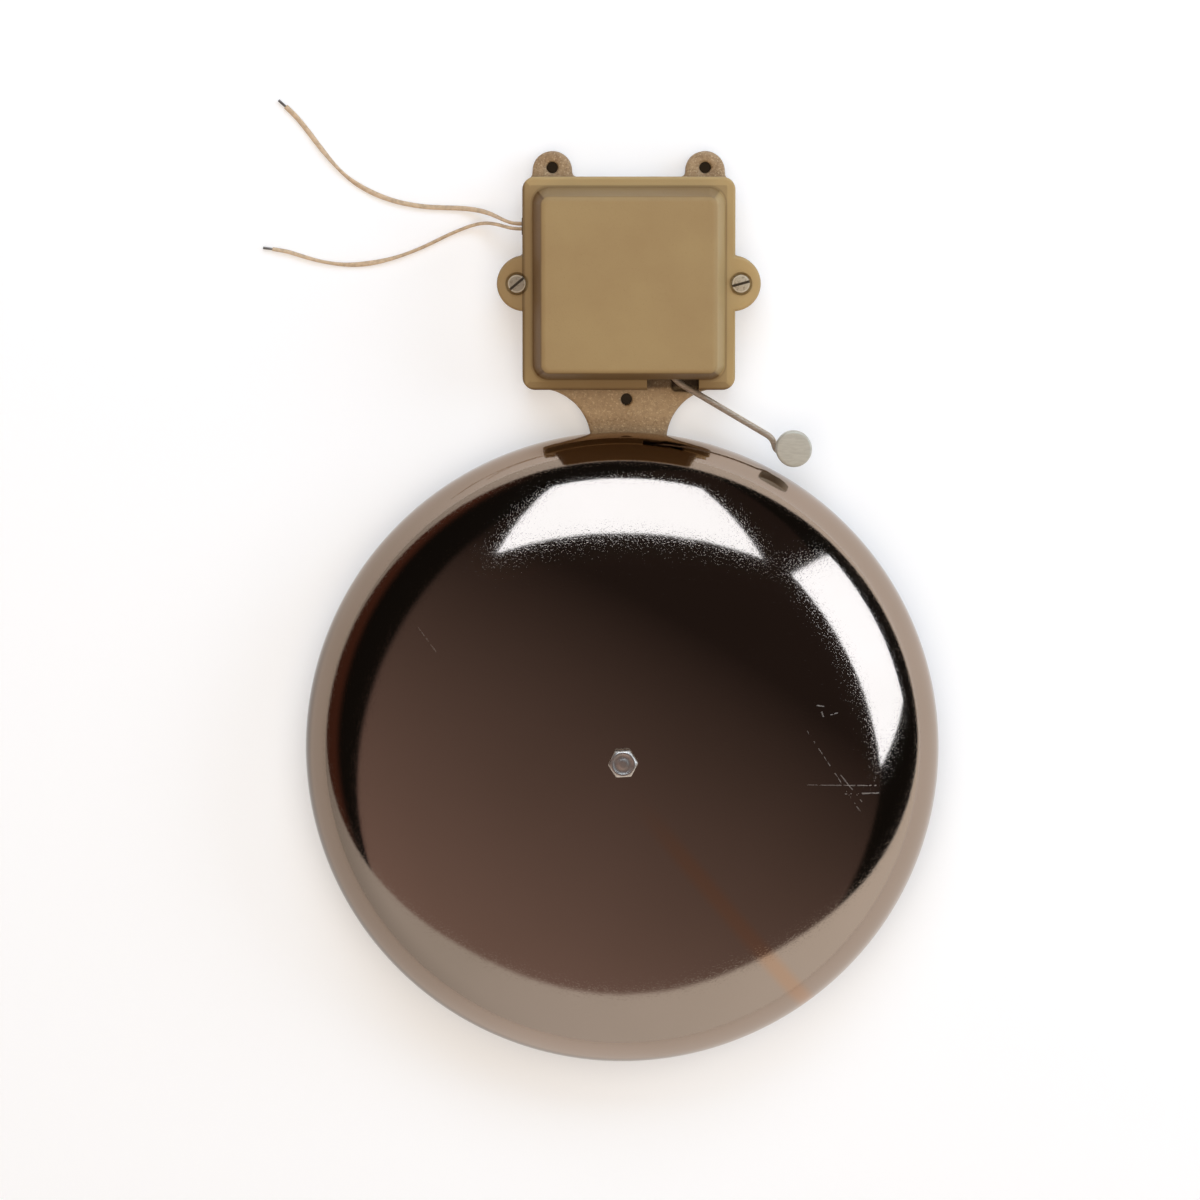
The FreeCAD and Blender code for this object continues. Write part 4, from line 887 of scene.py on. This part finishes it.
# %% [markdown]
# ## Finishes of hammer, arm and screws
# These three show from the front, so each gets its own finish: the hammer is brushed nickel, the arm
# is wire with marks along it from the drawing die, and the screws are worn steel, with dirt and
# painted shade in the slot and round the head and a painted highlight at the head's edge. Noise
# stretched along one axis makes brush and die marks, which an even noise can't. The metals keep a
# part of plain colour, so that they stay pale in a white room.

# %% Brushed nickel
satin = Finish("satin_nickel")
brushed = satin.noise(1.0, 2.0, where=satin.stretched((260.0, 1500.0, 900.0), turn=0.5))
pale = satin.mix(brushed.over(0.3, 0.75), linear(195, 190, 175), linear(184, 178, 163))
satin.surface(Base_Color=pale, Metallic=0.35, Roughness=0.36 + brushed * 0.12,
              Normal=satin.bump(brushed, 0.00002, 0.5))
dress(satin.owner, "turned_hammer")
print("hammer dressed")

# %% Drawn wire
drawn = Finish("drawn_wire")
die_marks = drawn.noise(1.0, 2.0, where=drawn.stretched((60.0, 2400.0, 2400.0), turn=0.58))
wire_tone = drawn.mix(die_marks.over(0.35, 0.7), linear(196, 180, 160), linear(158, 142, 124))
drawn.surface(Base_Color=wire_tone, Metallic=0.55, Roughness=0.32,
              Normal=drawn.bump(die_marks, 0.00006, 0.5))
dress(drawn.owner, "hammer_arm")
print("arm dressed")

# %% Worn screws
SCREW_FROM_MIDDLE = 0.0526
SCREW_DIRT_AND_SHADE = linear(50, 38, 28)
slotted = Finish("screw_steel")
rubbed = slotted.noise(900.0, 3.0)
screw_x, screw_y, screw_z = slotted.split(slotted.place())
from_screw = distance((screw_x - CASE.x).math("ABSOLUTE") - SCREW_FROM_MIDDLE, screw_y - CASE.y)
screw_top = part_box("cover_screws")[1][2]
# Dirt and painted shade: the slot and a ring round each head are painted dark.
in_slot = 1.0 - screw_z.over(screw_top - 0.0006, screw_top - 0.0002)
dirt_and_shade = (in_slot + from_screw.over(0.0040, 0.00425)).math("MINIMUM", 1.0)
screw_tone = slotted.mix(screw_x.over(-0.01, 0.02), linear(158, 146, 128), linear(186, 172, 148))
screw_tone = slotted.mix(rubbed.over(0.50, 0.66) * 0.5, screw_tone, linear(116, 98, 74))
# Painted highlight: a pale ring at the edge of each head.
screw_tone = slotted.mix(from_screw.over(0.0034, 0.0037) * 0.6, screw_tone, linear(214, 200, 172))
screw_tone = slotted.mix(dirt_and_shade * 0.85, screw_tone, SCREW_DIRT_AND_SHADE)
slotted.surface(Base_Color=screw_tone, Metallic=0.35, Roughness=0.38,
                Normal=slotted.bump(rubbed, 0.00006, 0.5))
dress(slotted.owner, "worn_screws")
print("screws dressed")

# %% [markdown]
# ## Finishes of the other pieces
# The windings are enamelled copper wire, 0.6 mm from turn to turn. Modelled turns would cost many
# faces inside a closed case, so a sine along the coil bumps them. All other pieces share one recipe:
# a colour with darker spots and a shallow bump, written as a table of materials and their pieces.

# %% Windings
WIRE_PITCH = 0.0006
wound = Finish("copper_winding")
along_coil, _, _ = wound.split(wound.place())
turns = (along_coil * (2 * math.pi / WIRE_PITCH)).math("SINE")
enamelled = wound.mix(wound.noise(300.0).over(0.35, 0.7), (0.55, 0.22, 0.09), (0.40, 0.14, 0.05))
wound.surface(Base_Color=enamelled, Metallic=0.8, Roughness=0.35, Normal=wound.bump(turns, 0.0001, 0.8))
dress(wound.owner, "winding_lower", "winding_upper")
print("windings dressed")

# %% One recipe for the rest
SPOT_SHADE = 0.72


def plain_finish(name, colour, rough, metallic):
    made = Finish(name)
    spots = made.noise(400.0, 3.0)
    darker = tuple(part * SPOT_SHADE for part in colour)
    tone = made.mix(spots.over(0.35, 0.75), colour, darker)
    return made.surface(Base_Color=tone, Metallic=metallic, Roughness=rough + spots * 0.15,
                        Normal=made.bump(spots, 0.0001, 0.4))

# %% Metals
METALS = (
    ("zinc_steel", (0.72, 0.62, 0.52), 0.32, ("gong_washer", "hexagon_bolt", "gong_pillar")),
    ("nickel", (0.62, 0.56, 0.47), 0.26, ("pivot_pin", "contact_tip")),
    ("dull_steel", (0.34, 0.27, 0.20), 0.38, ("core_screws", "yoke_screws", "post_screw", "block_screw")),
    ("soft_iron", (0.22, 0.21, 0.20), 0.45, ("magnet_yoke", "core_lower", "core_upper", "armature")),
    ("brass", (0.66, 0.48, 0.20), 0.25,
     ("pivot_bush", "leaf_rivets", "contact_post", "contact_screw", "contact_lock_nut", "spring_post",
      "spring_rivets", "terminal_tags", "terminal_screws")),
    ("spring_metal", (0.60, 0.50, 0.38), 0.25, ("pivot_clip", "contact_leaf", "bending_spring")),
    ("strand", (0.28, 0.24, 0.2), 0.4, ("lead_upper_tip", "lead_lower_tip")))
for name, colour, rough, pieces in METALS:
    dress(plain_finish(name, colour, rough, 1.0), *pieces)
    print(name, "on", len(pieces), "pieces")

# %% Fibre, rubber and cotton
OTHERS = (
    ("fibre", (0.28, 0.07, 0.045), 0.6, ("gong_fibre_washer", "insulating_plate")),
    ("bakelite", (0.035, 0.028, 0.024), 0.3, ("bobbin_lower", "bobbin_upper", "terminal_block")),
    ("rubber", (0.03, 0.03, 0.03), 0.7, ("lead_grommet",)),
    ("hookup_cover", (0.05, 0.05, 0.06), 0.5,
     ("coil_feed_wire", "coil_link_wire", "contact_feed_wire", "pivot_feed_wire")),
    ("lead_cover", linear(205, 178, 146), 0.7,
     ("lead_tail_upper", "lead_tail_lower", "flat_lead_upper", "flat_lead_lower")))
for name, colour, rough, pieces in OTHERS:
    dress(plain_finish(name, colour, rough, 0.0), *pieces)
    print(name, "on", len(pieces), "pieces")
